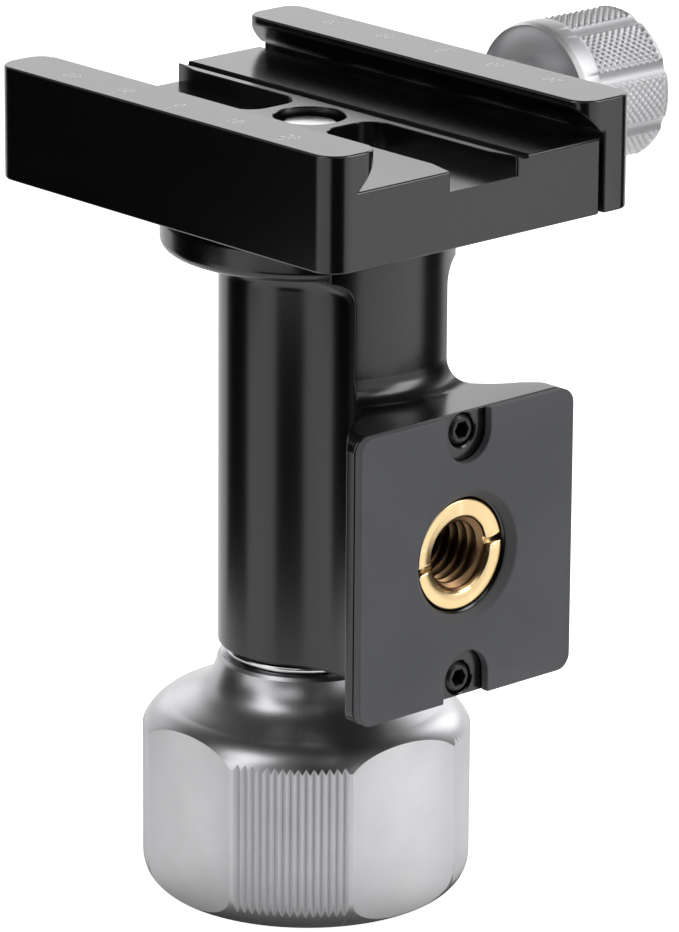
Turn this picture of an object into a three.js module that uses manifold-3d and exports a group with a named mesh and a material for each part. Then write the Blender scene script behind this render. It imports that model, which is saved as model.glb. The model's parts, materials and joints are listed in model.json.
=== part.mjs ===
// Monopod tilt head: a barrel with a foot plate, a turning spindle locked by a large knob,
// and a dovetail clamp with one sliding jaw. Millimetres, +Z up along the tilt axis,
// origin on that axis at the bottom of the tilt knob. The foot faces -Y, the clamp knob +X.

import * as THREE from "three";
import { mergeVertices } from "three/addons/utils/BufferGeometryUtils.js";
import Module from "manifold-3d";

// Clearances and cutting
const seatGap = 0.1;
const fitGap = 0.2;
const runningGap = 0.3;
const overrun = 2;
const edgeBreak = 0.4;

// Facets around a full turn, by size of the round
const fineFacets = 48;
const roundFacets = 32;
const smallFacets = 16;
const hexFacets = 6;
const arcFacets = 4;

// Tilt knob
const knobRadius = 20.6;
const knobFlatDepth = 1.67;
const knobFlatCount = 4;
const knobFlatTurn = -2.5 * Math.PI / 180;
const knobBottomRounding = 4.4;
const knobShoulderInset = 3.5;
const knobShoulderHeight = 24.45;
const knobShoulderArcHeight = 20.1;
const knobBellShares = [[0.47, 0.29], [1, 0.43]];
const knobRimRadius = 11.6;
const knobRimHeight = 30.6;
const ribBottom = 3.6;
const ribTop = 21.5;
const ribsPerLand = 15;
const ribDepth = 0.45;
const ribRootInset = 3.6;
const ribSpanShare = 0.94;

// Inside the tilt knob
const capRadius = 11.5;
const capThickness = 2.1;
const capSpace = 1.7;
const insertRadius = 8;
const insertFloor = 1.3;
const springSeatDepth = 5.8;

// Pressure ring and disc springs
const ringRadius = 10.85;
const ringThickness = 1.1;
const ringSleeveRadius = 9.1;
const ringSleeveLength = 3.1;
const discSpringThickness = 0.5;
const discSpringRise = 0.6;

// Spindle and the screw that stops the knob from coming off
const spindleRadius = 7;
const spindleWaistDepth = 0.8;
const spindleThreadRadius = 4;
const spindleReach = 2.7;
const stopScrewRadius = 2;
const stopScrewLength = 8;
const stopHeadRadius = 3.5;
const stopHeadHeight = 2.8;
const stopWasherRadius = 6;
const stopWasherThickness = 1;
const stopSocketRadius = 1.45;

// Barrel and flange
const barrelRadius = 11.17;
const barrelLength = 55;
const barrelFillet = 3;
const flangeRadius = 18.4;
const flangeThickness = 3.9;
const flangeEdgeWidth = 1.3;
const flangeEdgeRise = 1.4;
const boreClearance = 1;
const bushWall = 2;
const bushLength = 10;
const thrustWasherInset = 1.8;
const thrustWasherWidth = 4.6;
const thrustWasherThickness = 0.8;

// Neck and web between barrel and foot
const webHalfWidth = 6.95;
const scoopRadius = 10.86;
const neckFillet = 3;
const webFlare = 3;

// Foot plate, its pad and what is screwed into it
const footHalfWidth = 17.6;
const footHeight = 36.3;
const footFace = 27.7;
const footStripThickness = 1.4;
const footCorner = 2;
const footTaperWidth = 13.9;
const footTaperBack = 4.5;
const footWebBack = 10.7;
const padThickness = 1.2;
const padHoleRadius = 8.25;
const notchHalfWidth = 3.65;
const notchDepth = 6.15;
const bushingRadius = 7;
const bushingLength = 8.7;
const socketRadius = 3.9;
const socketMouthRadius = 4.9;
const socketRelief = 4;
const bushingSlotWidth = 1.6;
const bushingSlotDepth = 1.2;
const bushingSlotTurn = 8 * Math.PI / 180;
const lockScrewRadius = 1.9;
const lockScrewLength = 6;
const lockScrewInset = 2.35;
const lockSocketRadius = 1.15;
const lockSocketDepth = 2.5;

// Turntable disc, dowels and the bolt that holds the clamp down
const discThickness = 2.4;
const boltHeadRadius = 3.55;
const boltHeadHeight = 2.8;
const boltRadius = 2.5;
const boltLength = 22;
const boltSocketRadius = 2;
const boltSocketDepth = 1.6;
const counterboreRadius = 4.5;
const counterboreDepth = 3.72;
const dowelRadius = 1.5;
const dowelOffset = 13;
const dowelReach = 4;

// Clamp: base with the fixed jaw, and the moving jaw
const clampHeight = 14.3;
const clampHalfLength = 31;
const clampFixedSide = 24.4;
const clampMovingSide = 25.1;
const clampFixedCorner = 3.15;
const clampMovingCorner = 2.4;
const grooveDepth = 4.68;
const jawLip = 16.4;
const jawLipHeight = 1;
const jawLipCorner = 2.8;
const undercutSlope = 1;
const jawLedgeRise = 0.58;
const baseEnd = 19.35;
const jawGap = 0.7;
const channelInner = 6;
const channelWidth = 1.2;
const channelDepth = 0.5;
const slotHalfWidth = 4.6;
const slotMouthHalfWidth = 5.4;
const slotMouthLength = 1.5;
const slotDepth = 2.44;
const slotStart = 6.3;
const slotCorner = 3;

// Jaw guides, springs and travel
const screwDepth = 4.12;
const guideDrop = 0.9;
const guideInset = 9;
const guideRadius = 2;
const guideEngagement = 11.35;
const guideSkin = 1;
const jawClosing = 0.4;
const springSpacing = 10;
const springPocketDepth = 7.35;
const springPocketRadius = 2.2;
const springCoilRadius = 1.5;
const springWireRadius = 0.25;
const springCoils = 6;
const coilSteps = 8;
const coilSides = 5;

// Clamp knob and its screw
const clampScrewRadius = 3;
const clampScrewEngagement = 11.05;
const clampScrewInset = 4.8;
const washerThickness = 1;
const hubRadius = 5.5;
const hubLength = 11.4;
const gripRadius = 9.8;
const gripLength = 15.1;
const gripRimInset = 0.32;
const gripDish = 3;
const gripChamfer = 0.8;
const gripBand = 3;
const fluteCount = 8;
const fluteRadius = 1.8;
const fluteDepth = 0.5;
const fluteTurn = 23.5 * Math.PI / 180;
const crossPinRadius = 1;
const crossPinInset = 3.2;

// Places worked out from the sizes above, from the tilt knob up to the clamp
const knobFlatDistance = knobRadius - knobFlatDepth;
const knobShoulderRadius = knobRadius - knobShoulderInset;
const ribRoot = knobRadius - ribRootInset;
const springSeatHeight = knobRimHeight - springSeatDepth;
const springSeatRadius = ringSleeveRadius + runningGap;
const stopHeadTop = capThickness + capSpace + stopHeadHeight;
const spindleBottom = stopHeadTop + seatGap + stopWasherThickness + seatGap;
const spindleShoulder = springSeatHeight - runningGap;
const insertBottom = spindleBottom + spindleReach;
const insertTop = springSeatHeight - insertFloor;
const spindleWaistRadius = spindleRadius - spindleWaistDepth;
const ringBottom = knobRimHeight + fitGap;
const ringTop = ringBottom + ringThickness;
const barrelBottom = ringTop + runningGap;
const flangeTop = barrelBottom + barrelLength;
const flangeUnderside = flangeTop - flangeThickness;
const flangeEdgeRadius = flangeRadius - flangeEdgeWidth;
const boreRadius = spindleRadius + boreClearance;
const bushOuterRadius = spindleRadius + bushWall;
const thrustWasherOuter = flangeRadius - thrustWasherInset;
const thrustWasherInner = thrustWasherOuter - thrustWasherWidth;
const neckRadius = flangeRadius + seatGap;
const footBottom = barrelBottom - runningGap;
const footTop = footBottom + footHeight;
const footMiddle = (footBottom + footTop) / 2;
const footTaperDepth = footFace - footTaperBack;
const footWebDepth = footFace - footWebBack;
const scoopAcross = webHalfWidth + scoopRadius;
const scoopDepth = Math.sqrt((barrelRadius + scoopRadius) ** 2 - scoopAcross ** 2);
const padFace = footFace + seatGap + padThickness;
const discBottom = flangeTop + runningGap;
const discTop = discBottom + discThickness;
const clampBottom = discTop + seatGap;
const clampTop = clampBottom + clampHeight;
const grooveFloor = clampTop - grooveDepth;
const jawLedge = grooveFloor + jawLedgeRise;
const jawLipFoot = clampTop - jawLipHeight;
const fixedUndercut = (jawLipFoot - grooveFloor) * undercutSlope;
const movingUndercut = (jawLipFoot - jawLedge) * undercutSlope;
const slotFloor = grooveFloor - slotDepth;
const counterboreFloor = grooveFloor - counterboreDepth;
const screwHeight = grooveFloor - screwDepth;
const guideHeight = screwHeight - guideDrop;
const guideOffset = clampHalfLength - guideInset;
const springOffset = guideOffset - springSpacing;
const guideInnerEnd = baseEnd - guideEngagement;
const springPocketEnd = baseEnd - springPocketDepth;
const jawInner = baseEnd + jawGap;
const hubStart = clampMovingSide + seatGap + washerThickness + seatGap;
const gripStart = hubStart + hubLength;
const gripCrest = gripStart + gripChamfer;
const gripEnd = gripStart + gripLength;
const gripRimRadius = gripRadius - gripRimInset;
const clampScrewInnerEnd = baseEnd - clampScrewEngagement;
const clampScrewOuterEnd = gripEnd - clampScrewInset;
const crossPinPlace = hubStart + crossPinInset;

// Colours seen on the object
const colours = {
  blackAnodised: { color: 0x1b1b1d, roughness: 0.45, metalness: 0.6 },
  rubber: { color: 0x4a4b4e, roughness: 0.8, metalness: 0 },
  satinAluminium: { color: 0xb9babd, roughness: 0.35, metalness: 0.9 },
  steel: { color: 0x9c9ea2, roughness: 0.3, metalness: 1 },
  blackSteel: { color: 0x161617, roughness: 0.4, metalness: 0.8 },
  brass: { color: 0xd9a44a, roughness: 0.3, metalness: 1 },
  bronze: { color: 0x9a6b3c, roughness: 0.45, metalness: 1 },
  nylon: { color: 0xe4e2da, roughness: 0.6, metalness: 0 },
};

const wasm = await Module();
wasm.setup();

// A closed geometry made into a solid that can be joined and cut
function solid(geometry) {
  geometry.deleteAttribute("normal");
  geometry.deleteAttribute("uv");
  const merged = mergeVertices(geometry);
  const index = merged.index.array;
  const kept = [];
  for (let i = 0; i < index.length; i += 3) {
    const [a, b, c] = [index[i], index[i + 1], index[i + 2]];
    if (a !== b && b !== c && c !== a) kept.push(a, b, c);
  }
  const vertProperties = new Float32Array(merged.attributes.position.array);
  return new wasm.Manifold(new wasm.Mesh({ numProp: 3, vertProperties, triVerts: new Uint32Array(kept) }));
}

function geometryOf(manifold) {
  const { vertProperties, triVerts } = manifold.getMesh();
  const geometry = new THREE.BufferGeometry();
  geometry.setAttribute("position", new THREE.BufferAttribute(new Float32Array(vertProperties), 3));
  geometry.setIndex(new THREE.BufferAttribute(new Uint32Array(triVerts), 1));
  geometry.computeVertexNormals();
  return geometry;
}

function cut(body, ...tools) {
  return tools.reduce((rest, tool) => rest.subtract(tool), body);
}

function join(body, ...others) {
  return others.reduce((sum, other) => sum.add(other), body);
}

// A profile of [radius, height] points turned about +Z; it starts and ends on the axis or closes
function turnedGeometry(profile, facets = roundFacets) {
  const points = profile.map(([radius, height]) => new THREE.Vector2(radius, height));
  return new THREE.LatheGeometry(points, facets).rotateX(Math.PI / 2);
}

function turned(profile, facets) {
  return solid(turnedGeometry(profile, facets));
}

// The same about +X, at the clamp screw's height
function turnedAlongX(profile, facets, y = 0, height = screwHeight) {
  return solid(turnedGeometry(profile, facets).rotateY(Math.PI / 2).translate(0, y, height));
}

// The same about -Y: heights in the profile run outwards from the axis towards the foot
function turnedAlongFoot(profile, facets, height = footMiddle) {
  return solid(turnedGeometry(profile, facets).rotateX(Math.PI / 2).translate(0, 0, height));
}

function rod(radius, from, to) {
  return [[0, from], [radius, from], [radius, to], [0, to]];
}

function sleeve(inner, outer, from, to) {
  return [[inner, from], [outer, from], [outer, to], [inner, to], [inner, from]];
}

// Points of an arc about [radius, height], from one angle to the next, ends included
function arc(centreRadius, centreHeight, size, from, to, steps = arcFacets) {
  return Array.from({ length: steps + 1 }, (_, i) => {
    const angle = from + (to - from) * i / steps;
    return [centreRadius + size * Math.cos(angle), centreHeight + size * Math.sin(angle)];
  });
}

function outline(points) {
  return new THREE.Shape(points.map(([x, y]) => new THREE.Vector2(x, y)));
}

// A plan outline raised from one height to another
function raised(shape, from, to, curveSegments = arcFacets) {
  const options = { depth: to - from, bevelEnabled: false, curveSegments };
  return solid(new THREE.ExtrudeGeometry(shape, options).translate(0, 0, from));
}

// An outline in X and Z carried along Y from one place to another
function carriedAlongY(shape, from, to, curveSegments = arcFacets) {
  const options = { depth: to - from, bevelEnabled: false, curveSegments };
  return solid(new THREE.ExtrudeGeometry(shape, options).rotateX(Math.PI / 2).translate(0, to, 0));
}

function block(low, high) {
  const size = high.map((value, i) => value - low[i]);
  const middle = high.map((value, i) => (value + low[i]) / 2);
  return solid(new THREE.BoxGeometry(...size).translate(...middle));
}

// A rectangle with one radius for its left corners and one for its right corners
function roundedRectangle(left, right, low, high, leftCorner, rightCorner) {
  const shape = new THREE.Shape();
  shape.moveTo(left + leftCorner, low);
  shape.lineTo(right - rightCorner, low);
  shape.absarc(right - rightCorner, low + rightCorner, rightCorner, -Math.PI / 2, 0);
  shape.lineTo(right, high - rightCorner);
  shape.absarc(right - rightCorner, high - rightCorner, rightCorner, 0, Math.PI / 2);
  shape.lineTo(left + leftCorner, high);
  shape.absarc(left + leftCorner, high - leftCorner, leftCorner, Math.PI / 2, Math.PI);
  shape.lineTo(left, low + leftCorner);
  shape.absarc(left + leftCorner, low + leftCorner, leftCorner, Math.PI, Math.PI * 3 / 2);
  return shape;
}

// Tilt knob: a turned bell with four flats and straight ribs on the lands between them
function knobOutline(ribbed) {
  const flatHalfAngle = Math.acos(knobFlatDistance / knobRadius);
  const landHalfAngle = Math.PI / knobFlatCount - flatHalfAngle;
  const points = [];
  for (let side = 0; side < knobFlatCount; side += 1) {
    const landMiddle = knobFlatTurn + (side + 1 / 2) * 2 * Math.PI / knobFlatCount - Math.PI / 2;
    const ribCount = ribbed ? ribsPerLand : 1;
    const ribHalfSpan = landHalfAngle * ribSpanShare;
    points.push([knobRadius, landMiddle - landHalfAngle]);
    for (let rib = 0; rib <= ribCount && ribbed; rib += 1) {
      const angle = landMiddle - ribHalfSpan + 2 * ribHalfSpan * rib / ribCount;
      const halfGroove = ribHalfSpan / ribCount / 2;
      if (rib > 0) points.push([knobRadius, angle - halfGroove]);
      points.push([knobRadius - ribDepth, angle]);
      if (rib < ribCount) points.push([knobRadius, angle + halfGroove]);
    }
    for (let step = 1; step < arcFacets && !ribbed; step += 1) {
      points.push([knobRadius, landMiddle - landHalfAngle + 2 * landHalfAngle * step / arcFacets]);
    }
    points.push([knobRadius, landMiddle + landHalfAngle]);
  }
  return outline(points.map(([radius, angle]) => [radius * Math.cos(angle), radius * Math.sin(angle)]));
}

function tiltKnob() {
  const shoulderCorner = knobRadius - (knobShoulderHeight - knobShoulderArcHeight);
  const shoulderSize = knobShoulderHeight - knobShoulderArcHeight;
  const sweep = Math.acos((knobShoulderRadius - shoulderCorner) / shoulderSize);
  const bellPoints = [[0, 0], ...knobBellShares, [1, 1]].map(([across, up]) => new THREE.Vector2(
    knobShoulderRadius + across * (knobRimRadius - knobShoulderRadius),
    knobShoulderHeight + up * (knobRimHeight - edgeBreak - knobShoulderHeight),
  ));
  const bell = new THREE.CubicBezierCurve(...bellPoints).getPoints(arcFacets).map((point) => [point.x, point.y]);
  const profile = [
    [0, 0],
    [knobRadius - knobBottomRounding, 0],
    ...arc(knobRadius - knobBottomRounding, knobBottomRounding, knobBottomRounding, -Math.PI / 2, 0).slice(1),
    ...arc(shoulderCorner, knobShoulderArcHeight, shoulderSize, 0, sweep),
    ...bell,
    [knobRimRadius - edgeBreak, knobRimHeight],
    [0, knobRimHeight],
  ];
  const plain = raised(knobOutline(false), 0, knobRimHeight);
  const ribs = raised(knobOutline(true), ribBottom, ribTop);
  const gripped = join(
    plain.subtract(turned(sleeve(ribRoot, knobRadius + overrun, ribBottom, ribTop))),
    ribs,
  );
  const bore = join(
    turned(rod(capRadius + fitGap, -overrun, capThickness + seatGap)),
    turned(rod(insertRadius + fitGap, -overrun, knobRimHeight + overrun)),
    turned(rod(springSeatRadius + fitGap, springSeatHeight, knobRimHeight + overrun)),
  );
  return cut(turned(profile, fineFacets).intersect(gripped), bore);
}

function tiltKnobCap() {
  return raised(outline(arc(0, 0, capRadius, 0, 2 * Math.PI, roundFacets).slice(1)), 0, capThickness);
}

function tiltKnobInsert() {
  return turned(sleeve(spindleThreadRadius + fitGap, insertRadius, insertBottom, insertTop));
}

// Pressure ring: the bright ring between knob and barrel, on a sleeve that guides it
function pressureRing() {
  return turned([
    [spindleRadius + fitGap, ringTop - ringThickness - ringSleeveLength],
    [ringSleeveRadius, ringTop - ringThickness - ringSleeveLength],
    [ringSleeveRadius, ringBottom],
    [ringRadius - edgeBreak / 2, ringBottom],
    [ringRadius, ringBottom + edgeBreak / 2],
    [ringRadius, ringTop - edgeBreak / 2],
    [ringRadius - edgeBreak / 2, ringTop],
    [spindleRadius + fitGap, ringTop],
    [spindleRadius + fitGap, ringTop - ringThickness - ringSleeveLength],
  ]);
}

// One cone-shaped spring washer; the upper one is the lower one turned over
function discSpring(outerHeight, innerHeight) {
  const inner = spindleRadius + runningGap;
  return turned([
    [inner, innerHeight],
    [ringSleeveRadius, outerHeight],
    [ringSleeveRadius, outerHeight + discSpringThickness],
    [inner, innerHeight + discSpringThickness],
    [inner, innerHeight],
  ]);
}

// Spindle: bearing length through the barrel, thread for the knob below, bolt hole above
function spindle() {
  const waistLow = barrelBottom + bushLength + runningGap;
  const waistHigh = flangeTop - bushLength - runningGap;
  const body = turned([
    [0, spindleBottom],
    [spindleThreadRadius - edgeBreak, spindleBottom],
    [spindleThreadRadius, spindleBottom + edgeBreak],
    [spindleThreadRadius, spindleShoulder],
    [spindleRadius, spindleShoulder],
    [spindleRadius, waistLow],
    [spindleWaistRadius, waistLow + runningGap],
    [spindleWaistRadius, waistHigh - runningGap],
    [spindleRadius, waistHigh],
    [spindleRadius, discTop],
    [0, discTop],
  ]);
  const boltHole = rod(boltRadius + fitGap, counterboreFloor + seatGap - boltLength - runningGap, discTop + overrun);
  const stopTop = spindleBottom - seatGap - stopWasherThickness - seatGap + stopScrewLength;
  const stopHole = rod(stopScrewRadius + fitGap, spindleBottom - overrun, stopTop + runningGap);
  return cut(body, turned(boltHole, smallFacets), turned(stopHole, smallFacets));
}

function stopWasher() {
  const top = spindleBottom - seatGap;
  return turned(sleeve(stopScrewRadius + fitGap, stopWasherRadius, top - stopWasherThickness, top), smallFacets);
}

function stopScrew() {
  const seat = spindleBottom - seatGap - stopWasherThickness - seatGap;
  const body = turned([
    [0, seat - stopHeadHeight],
    [stopHeadRadius, seat - stopHeadHeight],
    [stopHeadRadius, seat],
    [stopScrewRadius, seat],
    [stopScrewRadius, seat + stopScrewLength],
    [0, seat + stopScrewLength],
  ], smallFacets);
  const socket = rod(stopSocketRadius, seat - stopHeadHeight - overrun, seat - stopHeadHeight / 2);
  return cut(body, turned(socket, hexFacets));
}

// Housing: barrel, flange, neck, web and foot plate, machined from one bar
function barrel() {
  return turned([
    [0, barrelBottom],
    [barrelRadius - edgeBreak, barrelBottom],
    [barrelRadius, barrelBottom + edgeBreak],
    ...arc(barrelRadius + barrelFillet, flangeUnderside - barrelFillet, barrelFillet, Math.PI, Math.PI / 2),
    [flangeEdgeRadius, flangeUnderside],
    [flangeRadius, flangeUnderside + flangeEdgeRise],
    [flangeRadius, flangeTop - edgeBreak],
    [flangeRadius - edgeBreak, flangeTop],
    [0, flangeTop],
  ], fineFacets);
}

// Plan of all that stands between the axis and the foot's face, before the scoops are cut
function footPlan() {
  const half = [
    [footHalfWidth, -footFace],
    [footHalfWidth, footStripThickness - footFace],
    [footTaperWidth, -footTaperDepth],
    [scoopAcross, -scoopDepth],
  ];
  const mirrored = half.map(([x, y]) => [-x, y]).reverse();
  return outline([...half, [0, 0], ...mirrored]);
}

// Tool for the round scoop that touches the barrel on one side and leaves the web beside it
function scoop(side) {
  const flareFoot = flangeUnderside - webFlare;
  const tool = turnedGeometry([
    [0, footBottom - overrun],
    [scoopRadius, footBottom - overrun],
    ...arc(scoopRadius - webFlare, flareFoot, webFlare, 0, Math.PI / 2),
    [scoopRadius - webFlare, flangeTop],
    [0, flangeTop],
  ], fineFacets);
  return solid(tool.translate(side * scoopAcross, -scoopDepth, 0));
}

function neckAndFoot() {
  const neckTop = flangeUnderside + flangeEdgeRise;
  const filletFoot = neckRadius + neckFillet;
  const front = turned([
    [0, barrelBottom],
    [filletFoot, barrelBottom],
    ...arc(filletFoot, footTop + neckFillet, neckFillet, -Math.PI / 2, -Math.PI),
    [neckRadius, neckTop],
    [0, neckTop],
  ], fineFacets);
  const neck = raised(footPlan(), barrelBottom, neckTop).intersect(front);
  const foot = raised(footPlan(), footBottom, footTop)
    .intersect(carriedAlongY(footOutline(), -footFace - overrun, -footWebDepth));
  return cut(join(neck, foot), scoop(-1), scoop(1));
}

function footOutline() {
  return roundedRectangle(-footHalfWidth, footHalfWidth, footBottom, footTop, footCorner, footCorner);
}

function lockScrewHeight(side) {
  return footMiddle + side * ((footTop - footBottom) / 2 - lockScrewInset);
}

function housing() {
  const body = join(barrel(), neckAndFoot());
  const bushDepth = bushLength + fitGap;
  const washerSeat = flangeTop - thrustWasherThickness;
  const bushingEnd = footFace - bushingLength - fitGap;
  const lockEnd = footFace - lockScrewLength - fitGap;
  const lockHole = rod(lockScrewRadius + fitGap, lockEnd, footFace + overrun);
  return cut(
    body,
    turned(rod(boreRadius, barrelBottom - overrun, flangeTop + overrun)),
    turned(rod(bushOuterRadius + fitGap, barrelBottom - overrun, barrelBottom + bushDepth)),
    turned(rod(bushOuterRadius + fitGap, flangeTop - bushDepth, flangeTop + overrun)),
    turned(sleeve(thrustWasherInner - fitGap, thrustWasherOuter + fitGap, washerSeat, flangeTop + overrun)),
    turnedAlongFoot(rod(bushingRadius + fitGap, bushingEnd, footFace + overrun)),
    turnedAlongFoot(rod(socketMouthRadius, bushingEnd - socketRelief, footFace), smallFacets),
    turnedAlongFoot(lockHole, smallFacets, lockScrewHeight(1)),
    turnedAlongFoot(lockHole, smallFacets, lockScrewHeight(-1)),
  );
}

function bush(from) {
  return turned(sleeve(spindleRadius + fitGap, bushOuterRadius, from, from + bushLength));
}

function thrustWasher() {
  const bottom = flangeTop - thrustWasherThickness + seatGap;
  return turned(sleeve(thrustWasherInner, thrustWasherOuter, bottom, flangeTop + seatGap));
}

// Foot pad: a thin rubber sheet with a round window and a notch over each lock screw
function footPad() {
  const from = -padFace;
  const to = -footFace - seatGap;
  const sheet = carriedAlongY(footOutline(), from, to);
  const window = turnedAlongFoot(rod(padHoleRadius, footFace - overrun, padFace + overrun));
  const round = rod(notchHalfWidth, footFace - overrun, padFace + overrun);
  const notchReach = notchDepth - notchHalfWidth;
  const upper = block(
    [-notchHalfWidth, from - overrun, footTop - notchReach],
    [notchHalfWidth, to + overrun, footTop + overrun],
  );
  const lower = block(
    [-notchHalfWidth, from - overrun, footBottom - overrun],
    [notchHalfWidth, to + overrun, footBottom + notchReach],
  );
  return cut(
    sheet,
    window,
    upper,
    lower,
    turnedAlongFoot(round, roundFacets, footTop - notchReach),
    turnedAlongFoot(round, roundFacets, footBottom + notchReach),
  );
}

// Brass screw socket with a screwdriver slot across its face
function footBushing() {
  const inner = footFace - bushingLength;
  const mouth = socketMouthRadius - socketRadius;
  const body = turnedAlongFoot([
    [socketRadius, inner],
    [bushingRadius - edgeBreak, inner],
    [bushingRadius, inner + edgeBreak],
    [bushingRadius, footFace - edgeBreak],
    [bushingRadius - edgeBreak, footFace],
    [socketMouthRadius, footFace],
    [socketRadius, footFace - mouth],
    [socketRadius, inner],
  ]);
  const slotLength = 2 * (bushingRadius + overrun);
  const slot = new THREE.BoxGeometry(slotLength, 2 * bushingSlotDepth, bushingSlotWidth)
    .rotateY(-bushingSlotTurn)
    .translate(0, -footFace, footMiddle);
  return body.subtract(solid(slot));
}

function lockScrew(side) {
  const inner = footFace - lockScrewLength;
  const height = lockScrewHeight(side);
  const body = turnedAlongFoot([
    [0, inner],
    [lockScrewRadius - edgeBreak, inner],
    [lockScrewRadius, inner + edgeBreak],
    [lockScrewRadius, footFace - edgeBreak / 2],
    [lockScrewRadius - edgeBreak / 2, footFace],
    [0, footFace],
  ], smallFacets, height);
  const socket = rod(lockSocketRadius, footFace - lockSocketDepth, footFace + overrun);
  return body.subtract(turnedAlongFoot(socket, hexFacets, height));
}

// Turntable disc: the turning flange that carries the clamp
function turntableDisc() {
  const body = turned([
    [spindleRadius + fitGap, discBottom],
    [flangeRadius - edgeBreak, discBottom],
    [flangeRadius, discBottom + edgeBreak],
    [flangeRadius, discTop - edgeBreak / 2],
    [flangeRadius - edgeBreak / 2, discTop],
    [spindleRadius + fitGap, discTop],
    [spindleRadius + fitGap, discBottom],
  ], fineFacets);
  const hole = turnedGeometry(rod(dowelRadius + fitGap, discBottom - overrun, discTop + overrun), smallFacets);
  return cut(
    body,
    solid(hole.clone().translate(0, dowelOffset, 0)),
    solid(hole.clone().translate(0, -dowelOffset, 0)),
  );
}

function dowel(side) {
  const bottom = discBottom + runningGap;
  const shape = turnedGeometry(rod(dowelRadius, bottom, clampBottom + dowelReach), smallFacets);
  return solid(shape.translate(0, side * dowelOffset, 0));
}

function clampBolt() {
  const seat = counterboreFloor + seatGap;
  const top = seat + boltHeadHeight;
  const body = turned([
    [0, seat - boltLength],
    [boltRadius, seat - boltLength],
    [boltRadius, seat],
    [boltHeadRadius, seat],
    [boltHeadRadius, top - edgeBreak],
    [boltHeadRadius - edgeBreak, top],
    [0, top],
  ], smallFacets);
  const socket = turned(rod(boltSocketRadius, top - boltSocketDepth, top + overrun), hexFacets);
  return body.subtract(socket);
}

// Tools for the rounds at both ends of a jaw's lip, seen from above; side is -1 for the fixed jaw
function lipCorners(side) {
  const across = side * (jawLip + jawLipCorner);
  const clear = side * (jawLip - overrun);
  return [-1, 1].map((end) => {
    const along = end * (clampHalfLength - jawLipCorner);
    const beyond = end * (clampHalfLength + overrun);
    const round = arc(0, 0, jawLipCorner, 0, Math.PI / 2);
    const corner = outline([
      [clear, along],
      ...round.map(([x, y]) => [across - side * x, along + end * y]),
      [across, beyond],
      [clear, beyond],
    ]);
    return raised(corner, grooveFloor + seatGap, clampTop + overrun);
  });
}

// One end's stop slot in the groove floor, with a rounded inner end and a wider mouth
function stopSlot(end) {
  const from = end * slotStart;
  const to = end * (clampHalfLength + overrun);
  const slot = roundedRectangle(
    -slotHalfWidth, slotHalfWidth, Math.min(from, to), Math.max(from, to), slotCorner, slotCorner,
  );
  const mouth = block(
    [-slotMouthHalfWidth, Math.min(end * (clampHalfLength - slotMouthLength), to), slotFloor],
    [slotMouthHalfWidth, Math.max(end * (clampHalfLength - slotMouthLength), to), grooveFloor + overrun],
  );
  return join(raised(slot, slotFloor, grooveFloor + overrun), mouth);
}

function channel(side) {
  const near = side * channelInner;
  const far = side * (channelInner + channelWidth);
  return block(
    [Math.min(near, far), -clampHalfLength - overrun, grooveFloor - channelDepth],
    [Math.max(near, far), clampHalfLength + overrun, grooveFloor + overrun],
  );
}

function guideHole(from, to, y) {
  return turnedAlongX(rod(guideRadius + fitGap, from, to), smallFacets, y, guideHeight);
}

// Clamp base: floor of the dovetail groove and the fixed jaw in one piece
function clampBase() {
  const section = outline([
    [-clampFixedSide, clampBottom],
    [baseEnd, clampBottom],
    [baseEnd, grooveFloor],
    [-jawLip - fixedUndercut, grooveFloor],
    [-jawLip, jawLipFoot],
    [-jawLip, clampTop],
    [-clampFixedSide, clampTop],
  ]);
  const plan = roundedRectangle(
    -clampFixedSide, baseEnd, -clampHalfLength, clampHalfLength, clampFixedCorner, edgeBreak,
  );
  const body = carriedAlongY(section, -clampHalfLength, clampHalfLength)
    .intersect(raised(plan, clampBottom - overrun, clampTop + overrun));
  const dowelHole = turnedGeometry(
    rod(dowelRadius + fitGap, clampBottom - overrun, clampBottom + dowelReach + fitGap), smallFacets,
  );
  const pocket = rod(springPocketRadius, springPocketEnd, baseEnd + overrun);
  return cut(
    body,
    ...lipCorners(-1),
    stopSlot(-1),
    stopSlot(1),
    channel(-1),
    channel(1),
    turned(rod(counterboreRadius, counterboreFloor, grooveFloor + overrun)),
    turned(rod(boltRadius + fitGap, clampBottom - overrun, grooveFloor), smallFacets),
    solid(dowelHole.clone().translate(0, dowelOffset, 0)),
    solid(dowelHole.clone().translate(0, -dowelOffset, 0)),
    turnedAlongX(rod(clampScrewRadius + fitGap, clampScrewInnerEnd - jawClosing - fitGap, baseEnd + overrun)),
    guideHole(guideInnerEnd - jawClosing - fitGap, baseEnd + overrun, guideOffset),
    guideHole(guideInnerEnd - jawClosing - fitGap, baseEnd + overrun, -guideOffset),
    turnedAlongX(pocket, smallFacets, springOffset, guideHeight),
    turnedAlongX(pocket, smallFacets, -springOffset, guideHeight),
  );
}

// Moving jaw: slides on two guide pins, pulled in by the screw and pushed out by two springs
function movingJaw() {
  const section = outline([
    [jawInner, clampBottom],
    [clampMovingSide, clampBottom],
    [clampMovingSide, clampTop],
    [jawLip, clampTop],
    [jawLip, jawLipFoot],
    [jawLip + movingUndercut, jawLedge],
    [jawInner, jawLedge],
  ]);
  const plan = roundedRectangle(
    jawLip, clampMovingSide, -clampHalfLength, clampHalfLength, edgeBreak, clampMovingCorner,
  );
  const body = carriedAlongY(section, -clampHalfLength, clampHalfLength)
    .intersect(raised(plan, clampBottom - overrun, clampTop + overrun));
  return cut(
    body,
    ...lipCorners(1),
    turnedAlongX(rod(clampScrewRadius + fitGap, jawInner - overrun, clampMovingSide + overrun)),
    guideHole(jawInner - overrun, clampMovingSide - guideSkin + seatGap, guideOffset),
    guideHole(jawInner - overrun, clampMovingSide - guideSkin + seatGap, -guideOffset),
  );
}

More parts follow.
